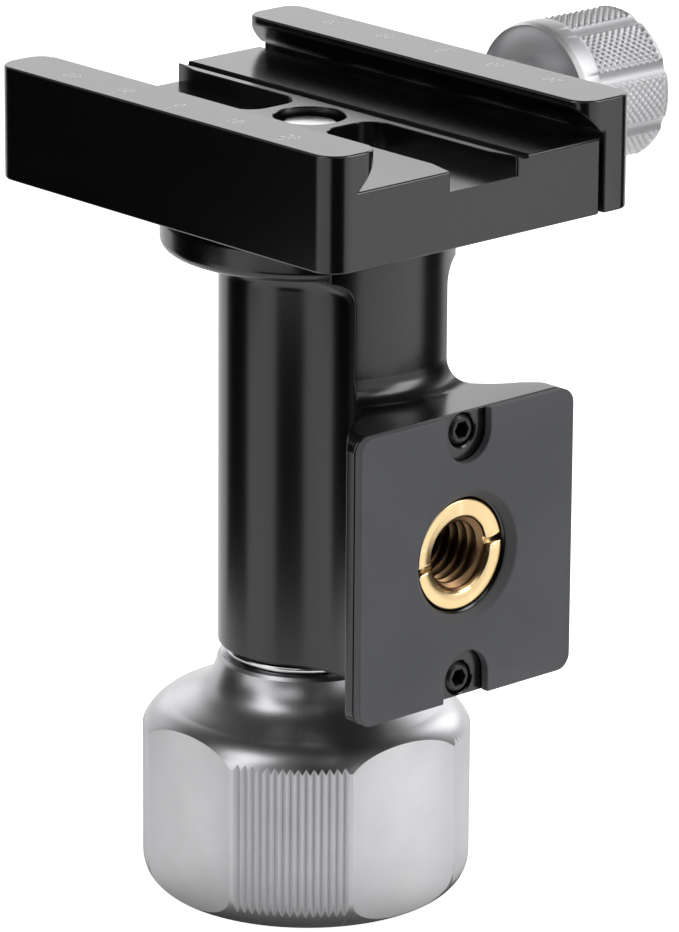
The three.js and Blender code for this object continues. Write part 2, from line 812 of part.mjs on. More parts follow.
function guidePin(side) {
  const profile = rod(guideRadius, guideInnerEnd, clampMovingSide - guideSkin);
  return turnedAlongX(profile, smallFacets, side * guideOffset, guideHeight);
}

// A coil's centre line: a helix along X
class CoilLine extends THREE.Curve {
  constructor(from, to, y) {
    super();
    this.from = from;
    this.to = to;
    this.y = y;
  }

  getPoint(share, target = new THREE.Vector3()) {
    const angle = share * springCoils * 2 * Math.PI;
    return target.set(
      this.from + (this.to - this.from) * share,
      this.y + springCoilRadius * Math.cos(angle),
      guideHeight + springCoilRadius * Math.sin(angle),
    );
  }
}

function jawSpring(side) {
  const clear = springWireRadius + seatGap;
  const line = new CoilLine(springPocketEnd + clear, jawInner - clear, side * springOffset);
  const wire = outline(arc(0, 0, springWireRadius, 0, 2 * Math.PI, coilSides).slice(1));
  const options = { steps: springCoils * coilSteps, extrudePath: line, bevelEnabled: false };
  return solid(new THREE.ExtrudeGeometry(wire, options));
}

// Clamp knob: a hub, a dished near face and a fluted grip
function clampKnob() {
  const dishFloor = gripStart + gripDish;
  const dish = new THREE.QuadraticBezierCurve(
    new THREE.Vector2(hubRadius, dishFloor),
    new THREE.Vector2(gripRimRadius - edgeBreak, dishFloor),
    new THREE.Vector2(gripRimRadius, gripStart),
  ).getPoints(arcFacets).map((point) => [point.x, point.y]);
  const bore = clampScrewRadius + fitGap;
  const body = turnedAlongX([
    [0, clampScrewOuterEnd + fitGap],
    [bore, clampScrewOuterEnd + fitGap],
    [bore, hubStart],
    [hubRadius - edgeBreak, hubStart],
    [hubRadius, hubStart + edgeBreak],
    ...dish,
    [gripRadius, gripCrest],
    [gripRadius, gripEnd - gripChamfer],
    [gripRadius - gripChamfer, gripEnd],
    [0, gripEnd],
  ], fineFacets);
  const flutePlace = gripRadius - fluteDepth + fluteRadius;
  const fluteProfile = rod(fluteRadius, gripStart + gripBand, gripEnd + overrun);
  const flutes = Array.from({ length: fluteCount }, (_, i) => {
    const angle = fluteTurn + i * 2 * Math.PI / fluteCount;
    const offset = -flutePlace * Math.sin(angle);
    const height = screwHeight + flutePlace * Math.cos(angle);
    return turnedAlongX(fluteProfile, smallFacets, offset, height);
  });
  return cut(body, ...flutes, crossHole());
}

function crossHole() {
  const reach = hubRadius + overrun;
  const shape = turnedGeometry(rod(crossPinRadius + fitGap, screwHeight - reach, screwHeight + reach), smallFacets);
  return solid(shape.translate(crossPinPlace, 0, 0));
}

function crossPin() {
  const reach = hubRadius - edgeBreak;
  const shape = turnedGeometry(rod(crossPinRadius, screwHeight - reach, screwHeight + reach), smallFacets);
  return solid(shape.translate(crossPinPlace, 0, 0));
}

function clampScrew() {
  const body = turnedAlongX([
    [0, clampScrewInnerEnd],
    [clampScrewRadius - edgeBreak, clampScrewInnerEnd],
    [clampScrewRadius, clampScrewInnerEnd + edgeBreak],
    [clampScrewRadius, clampScrewOuterEnd],
    [0, clampScrewOuterEnd],
  ]);
  return body.subtract(crossHole());
}

function clampWasher() {
  const from = clampMovingSide + seatGap;
  return turnedAlongX(sleeve(clampScrewRadius + fitGap, hubRadius, from, from + washerThickness));
}

// Every piece: its name, its shape and what it is made of
const discLow = springSeatHeight + seatGap;
const discMeet = discLow + discSpringRise;
const pieces = [
  ["housing", housing(), "blackAnodised"],
  ["foot_pad", footPad(), "rubber"],
  ["foot_bushing", footBushing(), "brass"],
  ["upper_lock_screw", lockScrew(1), "blackSteel"],
  ["lower_lock_screw", lockScrew(-1), "blackSteel"],
  ["lower_bush", bush(barrelBottom), "bronze"],
  ["upper_bush", bush(flangeTop - bushLength), "bronze"],
  ["thrust_washer", thrustWasher(), "nylon"],
  ["turntable_disc", turntableDisc(), "blackAnodised"],
  ["spindle", spindle(), "steel"],
  ["stop_washer", stopWasher(), "steel"],
  ["stop_screw", stopScrew(), "blackSteel"],
  ["front_dowel", dowel(-1), "steel"],
  ["rear_dowel", dowel(1), "steel"],
  ["clamp_base", clampBase(), "blackAnodised"],
  ["clamp_bolt", clampBolt(), "steel"],
  ["front_jaw_spring", jawSpring(-1), "steel"],
  ["rear_jaw_spring", jawSpring(1), "steel"],
  ["moving_jaw", movingJaw(), "blackAnodised"],
  ["front_guide_pin", guidePin(-1), "steel"],
  ["rear_guide_pin", guidePin(1), "steel"],
  ["clamp_knob", clampKnob(), "satinAluminium"],
  ["clamp_screw", clampScrew(), "steel"],
  ["clamp_washer", clampWasher(), "steel"],
  ["clamp_cross_pin", crossPin(), "steel"],
  ["pressure_ring", pressureRing(), "steel"],
  ["lower_disc_spring", discSpring(discLow, discMeet), "steel"],
  ["upper_disc_spring", discSpring(discMeet + discSpringThickness + seatGap + discSpringRise,
    discMeet + discSpringThickness + seatGap), "steel"],
  ["tilt_knob", tiltKnob(), "satinAluminium"],
  ["tilt_knob_insert", tiltKnobInsert(), "steel"],
  ["tilt_knob_cap", tiltKnobCap(), "satinAluminium"],
];

const head = new THREE.Group();
for (const [name, shape, finish] of pieces) {
  const mesh = new THREE.Mesh(geometryOf(shape), new THREE.MeshStandardMaterial(colours[finish]));
  mesh.name = name;
  head.add(mesh);
}

export default head;
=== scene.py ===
import json
import math

import bmesh
import bpy
import numpy as np
from mathutils import Matrix, Vector


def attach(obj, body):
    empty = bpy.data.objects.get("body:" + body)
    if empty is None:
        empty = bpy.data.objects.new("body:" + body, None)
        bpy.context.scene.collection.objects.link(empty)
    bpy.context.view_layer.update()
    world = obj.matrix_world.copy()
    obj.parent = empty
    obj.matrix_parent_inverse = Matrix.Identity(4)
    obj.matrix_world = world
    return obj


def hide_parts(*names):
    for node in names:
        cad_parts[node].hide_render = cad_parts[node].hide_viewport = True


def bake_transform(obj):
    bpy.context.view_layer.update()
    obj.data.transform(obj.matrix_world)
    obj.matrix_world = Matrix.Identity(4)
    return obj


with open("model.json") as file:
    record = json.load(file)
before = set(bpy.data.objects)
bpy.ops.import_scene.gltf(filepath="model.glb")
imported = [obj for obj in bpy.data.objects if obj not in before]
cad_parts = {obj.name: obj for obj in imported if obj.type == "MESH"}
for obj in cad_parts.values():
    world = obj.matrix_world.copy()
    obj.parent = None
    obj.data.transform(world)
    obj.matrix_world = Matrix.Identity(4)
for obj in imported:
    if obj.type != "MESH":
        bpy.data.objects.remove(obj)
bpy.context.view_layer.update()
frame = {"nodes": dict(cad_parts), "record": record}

# Housing: barrel, flange, neck, web and square foot plate, machined from one bar of aluminium,
# fine blasted and anodised black. Everything else is fitted to it.

MM = 0.001
FULL_TURN = 2 * math.pi
FINE_AROUND = 160
THREAD_AROUND = 128
PLAIN_AROUND = 96
SMALL_AROUND = 48
ARC_STEPS = 10

barrel_radius = 11.17 * MM
barrel_bottom = 32.2 * MM
flange_radius = 18.4 * MM
flange_underside = 83.3 * MM
flange_edge_rise = 1.4 * MM
flange_top = 87.2 * MM
neck_radius = 18.5 * MM
neck_fillet = 3 * MM
web_half_width = 6.95 * MM
scoop_radius = 10.86 * MM
web_flare = 3 * MM
foot_half_width = 17.6 * MM
foot_bottom = 31.9 * MM
foot_top = 68.2 * MM
foot_middle = (foot_bottom + foot_top) / 2
foot_face = 27.7 * MM
foot_strip = 1.4 * MM
foot_corner = 2 * MM
foot_taper_depth = 23.1 * MM
web_back = -16.5 * MM
foot_skin = 0.015 * MM
bore_radius = 8 * MM
bush_radius = 9 * MM
bush_length = 10.2 * MM
washer_inner = 12 * MM
washer_outer = 16.6 * MM
washer_depth = 0.8 * MM
bushing_radius = 7 * MM
bushing_length = 8.7 * MM
lock_screw_radius = 1.9 * MM
lock_screw_length = 6 * MM
lock_screw_inset = 2.35 * MM
lock_screw_heights = (foot_top - lock_screw_inset, foot_bottom + lock_screw_inset)
hole_gap = 0.2 * MM
edge = 0.4 * MM
housing_edge = 0.2 * MM
past = 2 * MM


def in_scene(name, data):
    made = bpy.data.objects.new(name, data)
    bpy.context.scene.collection.objects.link(made)
    return made


def mesh_object(name, points, faces):
    mesh = bpy.data.meshes.new(name)
    mesh.from_pydata(points, [], faces)
    return in_scene(name, mesh)


def surface(name, rings, closed=False):
    """A mesh from rings of points (ring, point, xyz): each ring is joined to the next by quads and its last
    point to its first. The end rings are joined to each other if closed, else each is filled by one face."""
    count, around = rings.shape[:2]
    index = np.arange(count * around).reshape(count, around)
    lower = index if closed else index[:-1]
    upper = np.roll(index, -1, axis=0) if closed else index[1:]
    quads = np.stack([lower, np.roll(lower, -1, axis=1), np.roll(upper, -1, axis=1), upper], axis=-1)
    faces = quads.reshape(-1, 4).tolist()
    if not closed:
        faces += [index[0, ::-1].tolist(), index[-1].tolist()]
    made = mesh_object(name, rings.reshape(-1, 3).tolist(), faces)
    made.data.validate()
    made.data.shade_smooth()
    return made


def arc(centre, size, start, end, steps=ARC_STEPS):
    """Points at equal angles on a circle about centre, between two angles in degrees, both included."""
    angle = np.radians(np.linspace(start, end, steps + 1))
    return list(zip(centre[0] + size * np.cos(angle), centre[1] + size * np.sin(angle)))


# Frames as columns across, up and along: a profile is turned about the last, and an outline is carried
# along it. The front's keeps the left and right of outlines drawn in X and Z.
ALONG_Z = np.eye(3)
ALONG_X = np.array([[0, 0, 1], [1, 0, 0], [0, 1, 0]])
ALONG_FRONT = np.array([[1, 0, 0], [0, 0, -1], [0, 1, 0]])


def circled(radius, height, turn):
    """Points about an axis: across = radius times cosine and sine of the turn, along = height."""
    return np.stack(np.broadcast_arrays(radius * np.cos(turn), radius * np.sin(turn), height), axis=-1)


def rings_of(profile, turn):
    """One ring of points, at the turns given, for each (radius, height) of a profile."""
    return circled(*np.array(profile).T[:, :, None], turn)


def turned(name, profile, around=FINE_AROUND, axes=ALONG_Z, centre=(0, 0, 0), closed=False):
    """A profile carried round an axis, laid on the axes given and moved to the centre."""
    turn = np.arange(around) * FULL_TURN / around
    return surface(name, rings_of(profile, turn) @ axes.T + np.array(centre), closed)


def raised(name, outline, low, high, axes=ALONG_Z):
    """An outline of points carried straight from low to high along the third of the axes."""
    levels = [np.column_stack([outline, np.full(len(outline), level)]) for level in (low, high)]
    return surface(name, np.stack(levels) @ axes.T)


def settle(piece):
    """The modifiers of a piece become its mesh."""
    graph = bpy.context.evaluated_depsgraph_get()
    mesh = bpy.data.meshes.new_from_object(
        piece.evaluated_get(graph), preserve_all_data_layers=True, depsgraph=graph
    )
    piece.modifiers.clear()
    before = piece.data
    piece.data = mesh
    bpy.data.meshes.remove(before)


def combine(piece, operation, *others):
    """The piece joined with, cut by or limited to the other solids, which are used up."""
    for other in others:
        step = piece.modifiers.new("combine", "BOOLEAN")
        step.operation = operation
        step.solver = "EXACT"
        step.object = other
        settle(piece)
        bpy.data.objects.remove(other)
    return piece


def merge_flats(piece, flattest=0.4):
    """Faces that lie in one plane, within an angle in degrees, become one face."""
    merge = piece.modifiers.new("merge", "DECIMATE")
    merge.decimate_type = "DISSOLVE"
    merge.angle_limit = math.radians(flattest)
    settle(piece)


def break_edges(piece, width, segments=2, sharpest=28):
    """Flat faces are merged, then every edge sharper than the angle in degrees gets a narrow round."""
    merge_flats(piece)
    bevel = piece.modifiers.new("edges", "BEVEL")
    bevel.width = width
    bevel.segments = segments
    bevel.limit_method = "ANGLE"
    bevel.angle_limit = math.radians(sharpest)
    bevel.use_clamp_overlap = False
    bevel.harden_normals = True
    piece.data.shade_smooth()
    settle(piece)
    return piece


def face_values(mesh, name, width=3):
    values = np.zeros(len(mesh.polygons) * width)
    mesh.polygons.foreach_get(name, values)
    return values.reshape(-1, width)


def soften(piece, sharpest=32, nearest=0.001 * MM):
    """Flat faces are merged and points nearer than the least distance are welded. Then each corner of a face
    gets the sum, weighed by area, of the normals of the faces at its point that turn away from the face by
    less than the angle in degrees, so that large faces stay flat in the light."""
    merge_flats(piece)
    weld = piece.modifiers.new("weld", "WELD")
    weld.merge_threshold = nearest
    settle(piece)
    mesh = piece.data
    mesh.shade_smooth()
    point = np.zeros(len(mesh.loops), dtype=np.int64)
    mesh.loops.foreach_get("vertex_index", point)
    totals = np.zeros(len(mesh.polygons), dtype=np.int64)
    mesh.polygons.foreach_get("loop_total", totals)
    owner = np.repeat(np.arange(len(totals)), totals)
    order = np.argsort(point, kind="stable")
    points = point[order]
    own = face_values(mesh, "normal")[owner[order]]
    weight = own * face_values(mesh, "area", 1)[owner[order]]
    total = weight.copy()
    limit = math.cos(math.radians(sharpest))
    for step in range(1, int(np.bincount(point).max())):
        together = points[step:] == points[:-step]
        near = together & ((own[step:] * own[:-step]).sum(axis=1) > limit)
        total[step:] += np.where(near[:, None], weight[:-step], 0)
        total[:-step] += np.where(near[:, None], weight[step:], 0)
    total /= np.linalg.norm(total, axis=1)[:, None]
    normals = np.empty_like(total)
    normals[order] = total
    mesh.normals_split_custom_set(normals.tolist())
    return piece


def rounded_rectangle(left, right, low, high, left_corner, right_corner):
    """Corners as quarter arcs, one radius on the left and one on the right, anticlockwise from low left."""
    return (
        arc((left + left_corner, low + left_corner), left_corner, 180, 270)
        + arc((right - right_corner, low + right_corner), right_corner, 270, 360)
        + arc((right - right_corner, high - right_corner), right_corner, 0, 90)
        + arc((left + left_corner, high - left_corner), left_corner, 90, 180)
    )


def rod(radius, low, high):
    return [(radius, low), (radius, high)]


def box_between(name, low, high):
    outline = [(low[0], low[1]), (high[0], low[1]), (high[0], high[1]), (low[0], high[1])]
    return raised(name, outline, low[2], high[2])


scoop_across = web_half_width + scoop_radius
scoop_away = barrel_radius + scoop_radius
scoop_depth = math.sqrt(scoop_away ** 2 - scoop_across ** 2)
scoop_turn = math.atan2(scoop_depth, scoop_across)


def quarter(steps=ARC_STEPS):
    """Cosines and sines from nought to a right angle."""
    angle = np.linspace(0, math.pi / 2, steps + 1)
    return np.cos(angle), np.sin(angle)


def housing_levels():
    """Rows of height, growth, front radius and least radius up the housing: the broken bottom edge, the
    fillet from the foot to the neck, the flare under the flange, then the flange's two edges."""
    cos_few, sin_few = quarter(4)
    cos_many, sin_many = quarter()
    foot_front = neck_radius + neck_fillet
    rows = [(barrel_bottom + edge * (1 - c), edge * (s - 1), foot_front, 0) for c, s in zip(cos_few, sin_few)]
    rows += [(foot_top + neck_fillet * (1 - c), 0, foot_front - neck_fillet * s, 0)
             for c, s in zip(cos_many, sin_many)]
    rows += [(flange_underside - web_flare * (1 - s), web_flare * (1 - c), neck_radius, 0)
             for c, s in zip(cos_many, sin_many)]
    rows += [(flange_underside + flange_edge_rise * (1 - c), web_flare, neck_radius,
              flange_radius - flange_edge_rise * (1 - s)) for c, s in zip(cos_many, sin_many)]
    rows += [(flange_top - edge * (1 - s), web_flare, 0, flange_radius - edge * (1 - c))
             for c, s in zip(cos_few, sin_few)]
    return np.array(rows)


def housing_body(name, barrel_steps=55, scoop_steps=32, corner_steps=5, front_steps=13):
    """One outline at each level: the barrel's circle grown by the growth, a scoop on each side that still
    touches it, and the front circle, with a small arc that touches scoop and front at each corner. A point
    nearer the axis than the least radius moves straight out to it, and where the front radius is nought
    every point lies on the least radius."""
    height, growth, front, least = housing_levels().T[:, :, None]
    whole = front == 0
    front = np.where(whole, neck_radius, front)
    scoop = scoop_radius - growth
    near = scoop + housing_edge
    far = front - housing_edge
    spread = np.arccos((scoop_away ** 2 + far ** 2 - near ** 2) / (2 * scoop_away * far))
    corner_turn = math.pi + scoop_turn + spread
    corner_x = far * np.cos(corner_turn)
    corner_y = far * np.sin(corner_turn)
    last = np.arctan2(corner_y + scoop_depth, corner_x + scoop_across)
    along = scoop_turn + (last - scoop_turn) * np.linspace(0, 1, scoop_steps + 1)
    round_turn = last + math.pi + (corner_turn - last - math.pi) * np.linspace(0, 1, corner_steps + 1)[1:]
    foremost = math.pi + math.pi / 2
    half_front = corner_turn + (foremost - corner_turn) * np.linspace(0, 1, front_steps + 1)[1:]
    half_barrel = math.pi / 2 + (math.pi / 2 + scoop_turn) * np.linspace(0, 1, barrel_steps + 1)[:-1]
    circle = barrel_radius + growth
    left_x = np.concatenate([
        circle * np.cos(half_barrel), scoop * np.cos(along) - scoop_across,
        corner_x + housing_edge * np.cos(round_turn), front * np.cos(half_front),
    ], axis=1)
    left_y = np.concatenate([
        circle * np.sin(half_barrel), scoop * np.sin(along) - scoop_depth,
        corner_y + housing_edge * np.sin(round_turn), front * np.sin(half_front),
    ], axis=1)
    x = np.concatenate([left_x, -left_x[:, -2:0:-1]], axis=1)
    y = np.concatenate([left_y, left_y[:, -2:0:-1]], axis=1)
    reach = np.hypot(x, y)
    stretch = np.where(whole, least, np.maximum(reach, least)) / reach
    return surface(name, np.stack([x * stretch, y * stretch, height + 0 * x], axis=-1))


barrel = housing_body("housing_skin")

# The plate's own skin stands just outside the scoops of the body that it joins
taper_turn = 180 + math.degrees(math.asin((foot_taper_depth - scoop_depth) / scoop_radius))
inner_turn = 180 + math.degrees(math.asin((-web_back - scoop_depth) / scoop_radius))
half_plan = [
    (foot_half_width, -foot_face),
    (foot_half_width, -foot_face + foot_strip),
    *arc((scoop_across, -scoop_depth), scoop_radius - foot_skin, taper_turn, inner_turn, 16),
]
foot_plan = half_plan + [(-x, y) for x, y in reversed(half_plan)]
foot_outline = rounded_rectangle(
    -foot_half_width, foot_half_width, foot_bottom, foot_top, foot_corner, foot_corner
)
foot = raised("foot", foot_plan, foot_bottom, foot_top)
combine(foot, "INTERSECT", raised("trim", foot_outline, -web_back - past, foot_face + past, ALONG_FRONT))
break_edges(foot, housing_edge)
combine(barrel, "UNION", foot)
bushing_end = foot_face - bushing_length - hole_gap
lock_hole_end = foot_face - lock_screw_length - hole_gap


def hole(radius, floor, mouth, chamfer):
    """A hole with a 45 degree chamfer at its mouth, carried on past it."""
    return [(radius, floor), (radius, mouth - chamfer), (radius + chamfer + past, mouth + past)]


housing = combine(
    barrel, "DIFFERENCE",
    turned("bore", rod(bore_radius, barrel_bottom - past, flange_top + past)),
    turned("lower_seat", rod(bush_radius + hole_gap, barrel_bottom - past, barrel_bottom + bush_length)),
    turned("upper_seat", rod(bush_radius + hole_gap, flange_top - bush_length, flange_top + past)),
    turned("washer_seat", [
        (washer_inner - hole_gap, flange_top - washer_depth),
        (washer_outer + hole_gap, flange_top - washer_depth),
        (washer_outer + hole_gap, flange_top + past),
        (washer_inner - hole_gap, flange_top + past),
    ], closed=True),
    turned("socket_hole", hole(bushing_radius + hole_gap, bushing_end, foot_face, hole_gap),
           axes=ALONG_FRONT, centre=(0, 0, foot_middle)),
    *[turned("lock_hole", hole(lock_screw_radius + hole_gap, lock_hole_end, foot_face, hole_gap),
             SMALL_AROUND, ALONG_FRONT, (0, 0, height)) for height in lock_screw_heights],
)
soften(housing)
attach(housing, "housing")
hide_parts("housing")

# Anodised finishes: a fine blasted skin, so soft highlights with a very fine grain, a little
# brighter and smoother where an edge has been rubbed.


def group(name, inputs, outputs):
    """An empty node group with named sockets, and its input and output nodes."""
    tree = bpy.data.node_groups.new(name, "ShaderNodeTree")
    for socket, kind, value in inputs:
        made = tree.interface.new_socket(socket, in_out="INPUT", socket_type=kind)
        if value is not None:
            made.default_value = value
    for socket, kind in outputs:
        tree.interface.new_socket(socket, in_out="OUTPUT", socket_type=kind)
    return tree, tree.nodes.new("NodeGroupInput"), tree.nodes.new("NodeGroupOutput")


def put(tree, node, values):
    """Inputs of a node, by name or place: each gets another node's output or a value."""
    for socket, value in values.items():
        if isinstance(value, bpy.types.NodeSocket):
            tree.links.new(value, node.inputs[socket])
        else:
            node.inputs[socket].default_value = value


def add_node(tree, kind, values, **settings):
    made = tree.nodes.new("ShaderNode" + kind)
    for setting, value in settings.items():
        setattr(made, setting, value)
    put(tree, made, values)
    return made


def sums(tree, operation, first, second):
    return add_node(tree, "Math", {0: first, 1: second}, operation=operation).outputs[0]


FLOAT = "NodeSocketFloat"
VECTOR = "NodeSocketVector"

grain, grain_in, grain_out = group(
    "blasted_grain",
    [("Vector", VECTOR, None), ("Grain Size", FLOAT, 0.0002), ("Patch Size", FLOAT, 0.01)],
    [("Height", FLOAT), ("Patches", FLOAT)],
)
for node_name, size_socket, detail, result in [
    ("fine", "Grain Size", 2.0, "Height"), ("patches", "Patch Size", 3.0, "Patches"),
]:
    per_metre = sums(grain, "DIVIDE", 1.0, grain_in.outputs[size_socket])
    noise = add_node(grain, "TexNoise", {
        "Vector": grain_in.outputs["Vector"], "Scale": per_metre, "Detail": detail,
    }, name=node_name)
    put(grain, grain_out, {result: noise.outputs["Fac"]})

wear, wear_in, wear_out = group(
    "rubbed_edges",
    [("Pointiness", FLOAT, 0.5), ("Patches", FLOAT, 0.5), ("Start", FLOAT, 0.52), ("End", FLOAT, 0.6)],
    [("Mask", FLOAT)],
)
ramp = add_node(wear, "MapRange", {
    "Value": wear_in.outputs["Pointiness"],
    "From Min": wear_in.outputs["Start"],
    "From Max": wear_in.outputs["End"],
}, interpolation_type="SMOOTHSTEP")
put(wear, wear_out, {"Mask": sums(wear, "MULTIPLY", ramp.outputs["Result"], wear_in.outputs["Patches"])})


def finish(name, colour, rubbed, roughness, rubbed_roughness, metallic, bump, grain_size=0.00018,
           specular=0.5, patch_size=0.012, patch_depth=0.12):
    """A solid finish: colour and roughness drift with broad patches and change on rubbed edges, and the
    fine grain is a bump of the given depth in metres."""
    made = bpy.data.materials.new(name)
    made.use_nodes = True
    tree = made.node_tree
    place = add_node(tree, "TexCoord", {})
    shape = add_node(tree, "NewGeometry", {})
    skin = add_node(tree, "Group", {}, node_tree=grain)
    put(tree, skin, {"Vector": place.outputs["Object"], "Grain Size": grain_size, "Patch Size": patch_size})
    edges = add_node(tree, "Group", {}, node_tree=wear)
    put(tree, edges, {"Pointiness": shape.outputs["Pointiness"], "Patches": skin.outputs["Patches"]})
    dark, light = ((*[c * (1 + depth) for c in colour], 1) for depth in (-patch_depth, patch_depth))
    drift = add_node(tree, "Mix", {}, data_type="RGBA")
    put(tree, drift, {"Factor": skin.outputs["Patches"], "A": dark, "B": light})
    paint = add_node(tree, "Mix", {}, data_type="RGBA")
    put(tree, paint, {"Factor": edges.outputs["Mask"], "A": drift.outputs["Result"], "B": (*rubbed, 1)})
    gloss = add_node(tree, "Mix", {"Factor": edges.outputs["Mask"], "A": roughness, "B": rubbed_roughness})
    relief = add_node(tree, "Bump", {"Height": skin.outputs["Height"], "Strength": 1.0, "Distance": bump})
    put(tree, tree.nodes["Principled BSDF"], {
        "Metallic": metallic,
        "Specular IOR Level": specular,
        "Base Color": paint.outputs["Result"],
        "Roughness": gloss.outputs["Result"],
        "Normal": relief.outputs["Normal"],
    })
    return made


black_anodised = finish("black_anodised", (0.0035, 0.0035, 0.0038), (0.016, 0.016, 0.017), 0.22, 0.19, 0.0,
                        0.0000012, specular=0.65)


def dress(piece, material):
    piece.data.materials.clear()
    piece.data.materials.append(material)


dress(housing, black_anodised)

# Foot pad: a thin sheet of smooth dark rubber stuck on the plate, with a round window for the
# socket and a notch at top and bottom that leaves the lock screws free.

pad_thickness = 1.2 * MM
pad_gap = 0.1 * MM
pad_hole_radius = 7.35 * MM
pad_hole_chamfer = 0.95 * MM
notch_half_width = 3.65 * MM
notch_depth = 6.15 * MM
notch_steps = 24
pad_edge = 0.18 * MM

pad_back = foot_face + pad_gap
pad_front = pad_back + pad_thickness
pad = raised("foot_pad_skin", foot_outline, pad_back, pad_front, ALONG_FRONT)
notch_reach = notch_depth - notch_half_width


def notch(end, level, start, finish_angle):
    """A slot open at one end of the pad, closed by a half circle at the other."""
    outline = [
        *arc((0, level), notch_half_width, start, finish_angle, notch_steps),
        (math.copysign(notch_half_width, end - level), end),
        (math.copysign(notch_half_width, level - end), end),
    ]
    return raised("notch", outline, pad_back - past, pad_front + past, ALONG_FRONT)


combine(
    pad, "DIFFERENCE",
    turned("window", hole(pad_hole_radius, pad_back - past, pad_front, pad_hole_chamfer), THREAD_AROUND,
           ALONG_FRONT, (0, 0, foot_middle)),
    notch(foot_top + past, foot_top - notch_reach, 180, 360),
    notch(foot_bottom - past, foot_bottom + notch_reach, 0, 180),
)
break_edges(pad, pad_edge)
foot_rubber = finish("foot_rubber", (0.098, 0.1, 0.108), (0.15, 0.152, 0.16), 0.6, 0.52, 0.0, 0.000006,
                     grain_size=0.00035, specular=0.3)
dress(pad, foot_rubber)
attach(pad, "housing")
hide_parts("foot_pad")

# Foot bushing: a turned brass socket with a 3/8 inch-16 thread, chamfered at the mouth, and a
# screwdriver slot sawn across its face.

inch = 25.4 * MM
threads_per_inch = 16
thread_pitch = inch / threads_per_inch
thread_slope = 1.6
thread_flat = 0.3
thread_minor = 3.9 * MM
thread_major = 4.75 * MM
thread_mouth = 5 * MM
bushing_edge = 0.35 * MM
slot_width = 0.95 * MM
slot_depth = 0.9 * MM
slot_turn = math.radians(8)
bore_rings = 90


def threaded_bore(depths, turn):
    """The wall of a threaded hole: at each depth and turn the radius swings between minor and major in a
    triangle wave of depth over pitch less turn, cut flat at its crests and roots, and is kept outside the
    mouth's 45 degree chamfer."""
    depth = np.array(depths)[:, None]
    phase = (depth / thread_pitch - turn / FULL_TURN) % 1
    wave = np.clip(thread_slope * np.abs(2 * phase - 1) - thread_flat, 0, 1)
    radius = thread_minor + (thread_major - thread_minor) * wave
    radius = np.maximum(radius, thread_mouth - (foot_face - depth))
    return circled(radius, depth, turn)


outer_profile = [
    (bushing_radius - bushing_edge, bushing_end + hole_gap),
    (bushing_radius, bushing_end + hole_gap + bushing_edge),
    (bushing_radius, foot_face - bushing_edge),
    *arc((bushing_radius - bushing_edge, foot_face - bushing_edge), bushing_edge, 0, 90, 4)[1:],
]
turns = np.arange(THREAD_AROUND) * FULL_TURN / THREAD_AROUND
bore_depths = np.linspace(foot_face, bushing_end + hole_gap, bore_rings)
bushing_rings = np.concatenate([rings_of(outer_profile, turns), threaded_bore(bore_depths, turns)])
bushing_rings = bushing_rings @ ALONG_FRONT.T
bushing = surface("foot_bushing_skin", bushing_rings + np.array([0, 0, foot_middle]), closed=True)
slot_reach = bushing_radius + past
slot_half = slot_width / 2
slot_cut = box_between("slot", (-slot_reach, -slot_depth, -slot_half), (slot_reach, past, slot_half))
slot_cut.data.transform(
    Matrix.Translation((0, -foot_face, foot_middle)) @ Matrix.Rotation(math.pi, 4, "Z")
    @ Matrix.Rotation(slot_turn, 4, "Y")
)
combine(bushing, "DIFFERENCE", slot_cut)
brass = finish("turned_brass", (0.83, 0.62, 0.33), (0.92, 0.74, 0.46), 0.26, 0.18, 1.0, 0.000002,
               grain_size=0.0006, patch_size=0.004)
# The threaded bore gets a darker copy of the brass: painted shade for the inside of the hole.
thread_brass_painted_shade = finish("dark_thread_painted_shade", (0.2, 0.12, 0.06), (0.5, 0.34, 0.18), 0.34, 0.24, 1.0, 0.000002)


def dress_some(piece, material, chosen):
    """The chosen faces get a second material."""
    piece.data.materials.append(material)
    piece.data.polygons.foreach_set("material_index", chosen.astype(np.int32))


dress(bushing, brass)
middles = face_values(bushing.data, "center") - np.array([0, 0, foot_middle])
# Faces of the thread inside the hole get the darker brass, which is painted shade.
dress_some(bushing, thread_brass_painted_shade, np.hypot(middles[:, 0], middles[:, 2]) < thread_major)
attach(bushing, "housing")
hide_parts("foot_bushing")

# Lock screws: small black grub screws with hexagon sockets, flush with the plate in the pad's notches.

lock_socket_radius = 1.15 * MM
lock_socket_depth = 2.5 * MM
lock_screw_around = 64
lock_screw_edge = 0.08 * MM
black_steel = finish("black_steel", (0.02, 0.02, 0.021), (0.12, 0.12, 0.12), 0.35, 0.25, 0.3, 0.000003)
for name, height in zip(("upper_lock_screw", "lower_lock_screw"), lock_screw_heights):
    screw = turned(name + "_skin", [
        (lock_screw_radius - edge, foot_face - lock_screw_length),
        (lock_screw_radius, foot_face - lock_screw_length + edge),
        (lock_screw_radius, foot_face - edge),
        (lock_screw_radius - edge, foot_face),
    ], lock_screw_around, ALONG_FRONT, (0, 0, height))
    socket = turned("socket", rod(lock_socket_radius, foot_face - lock_socket_depth, foot_face + past), 6,
                    ALONG_FRONT, (0, 0, height))
    combine(screw, "DIFFERENCE", socket)
    break_edges(screw, lock_screw_edge)
    dress(screw, black_steel)
    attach(screw, "housing")
    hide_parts(name)

# Pressure ring: a turned steel ring that shows in the gap between the tilt knob and the barrel.

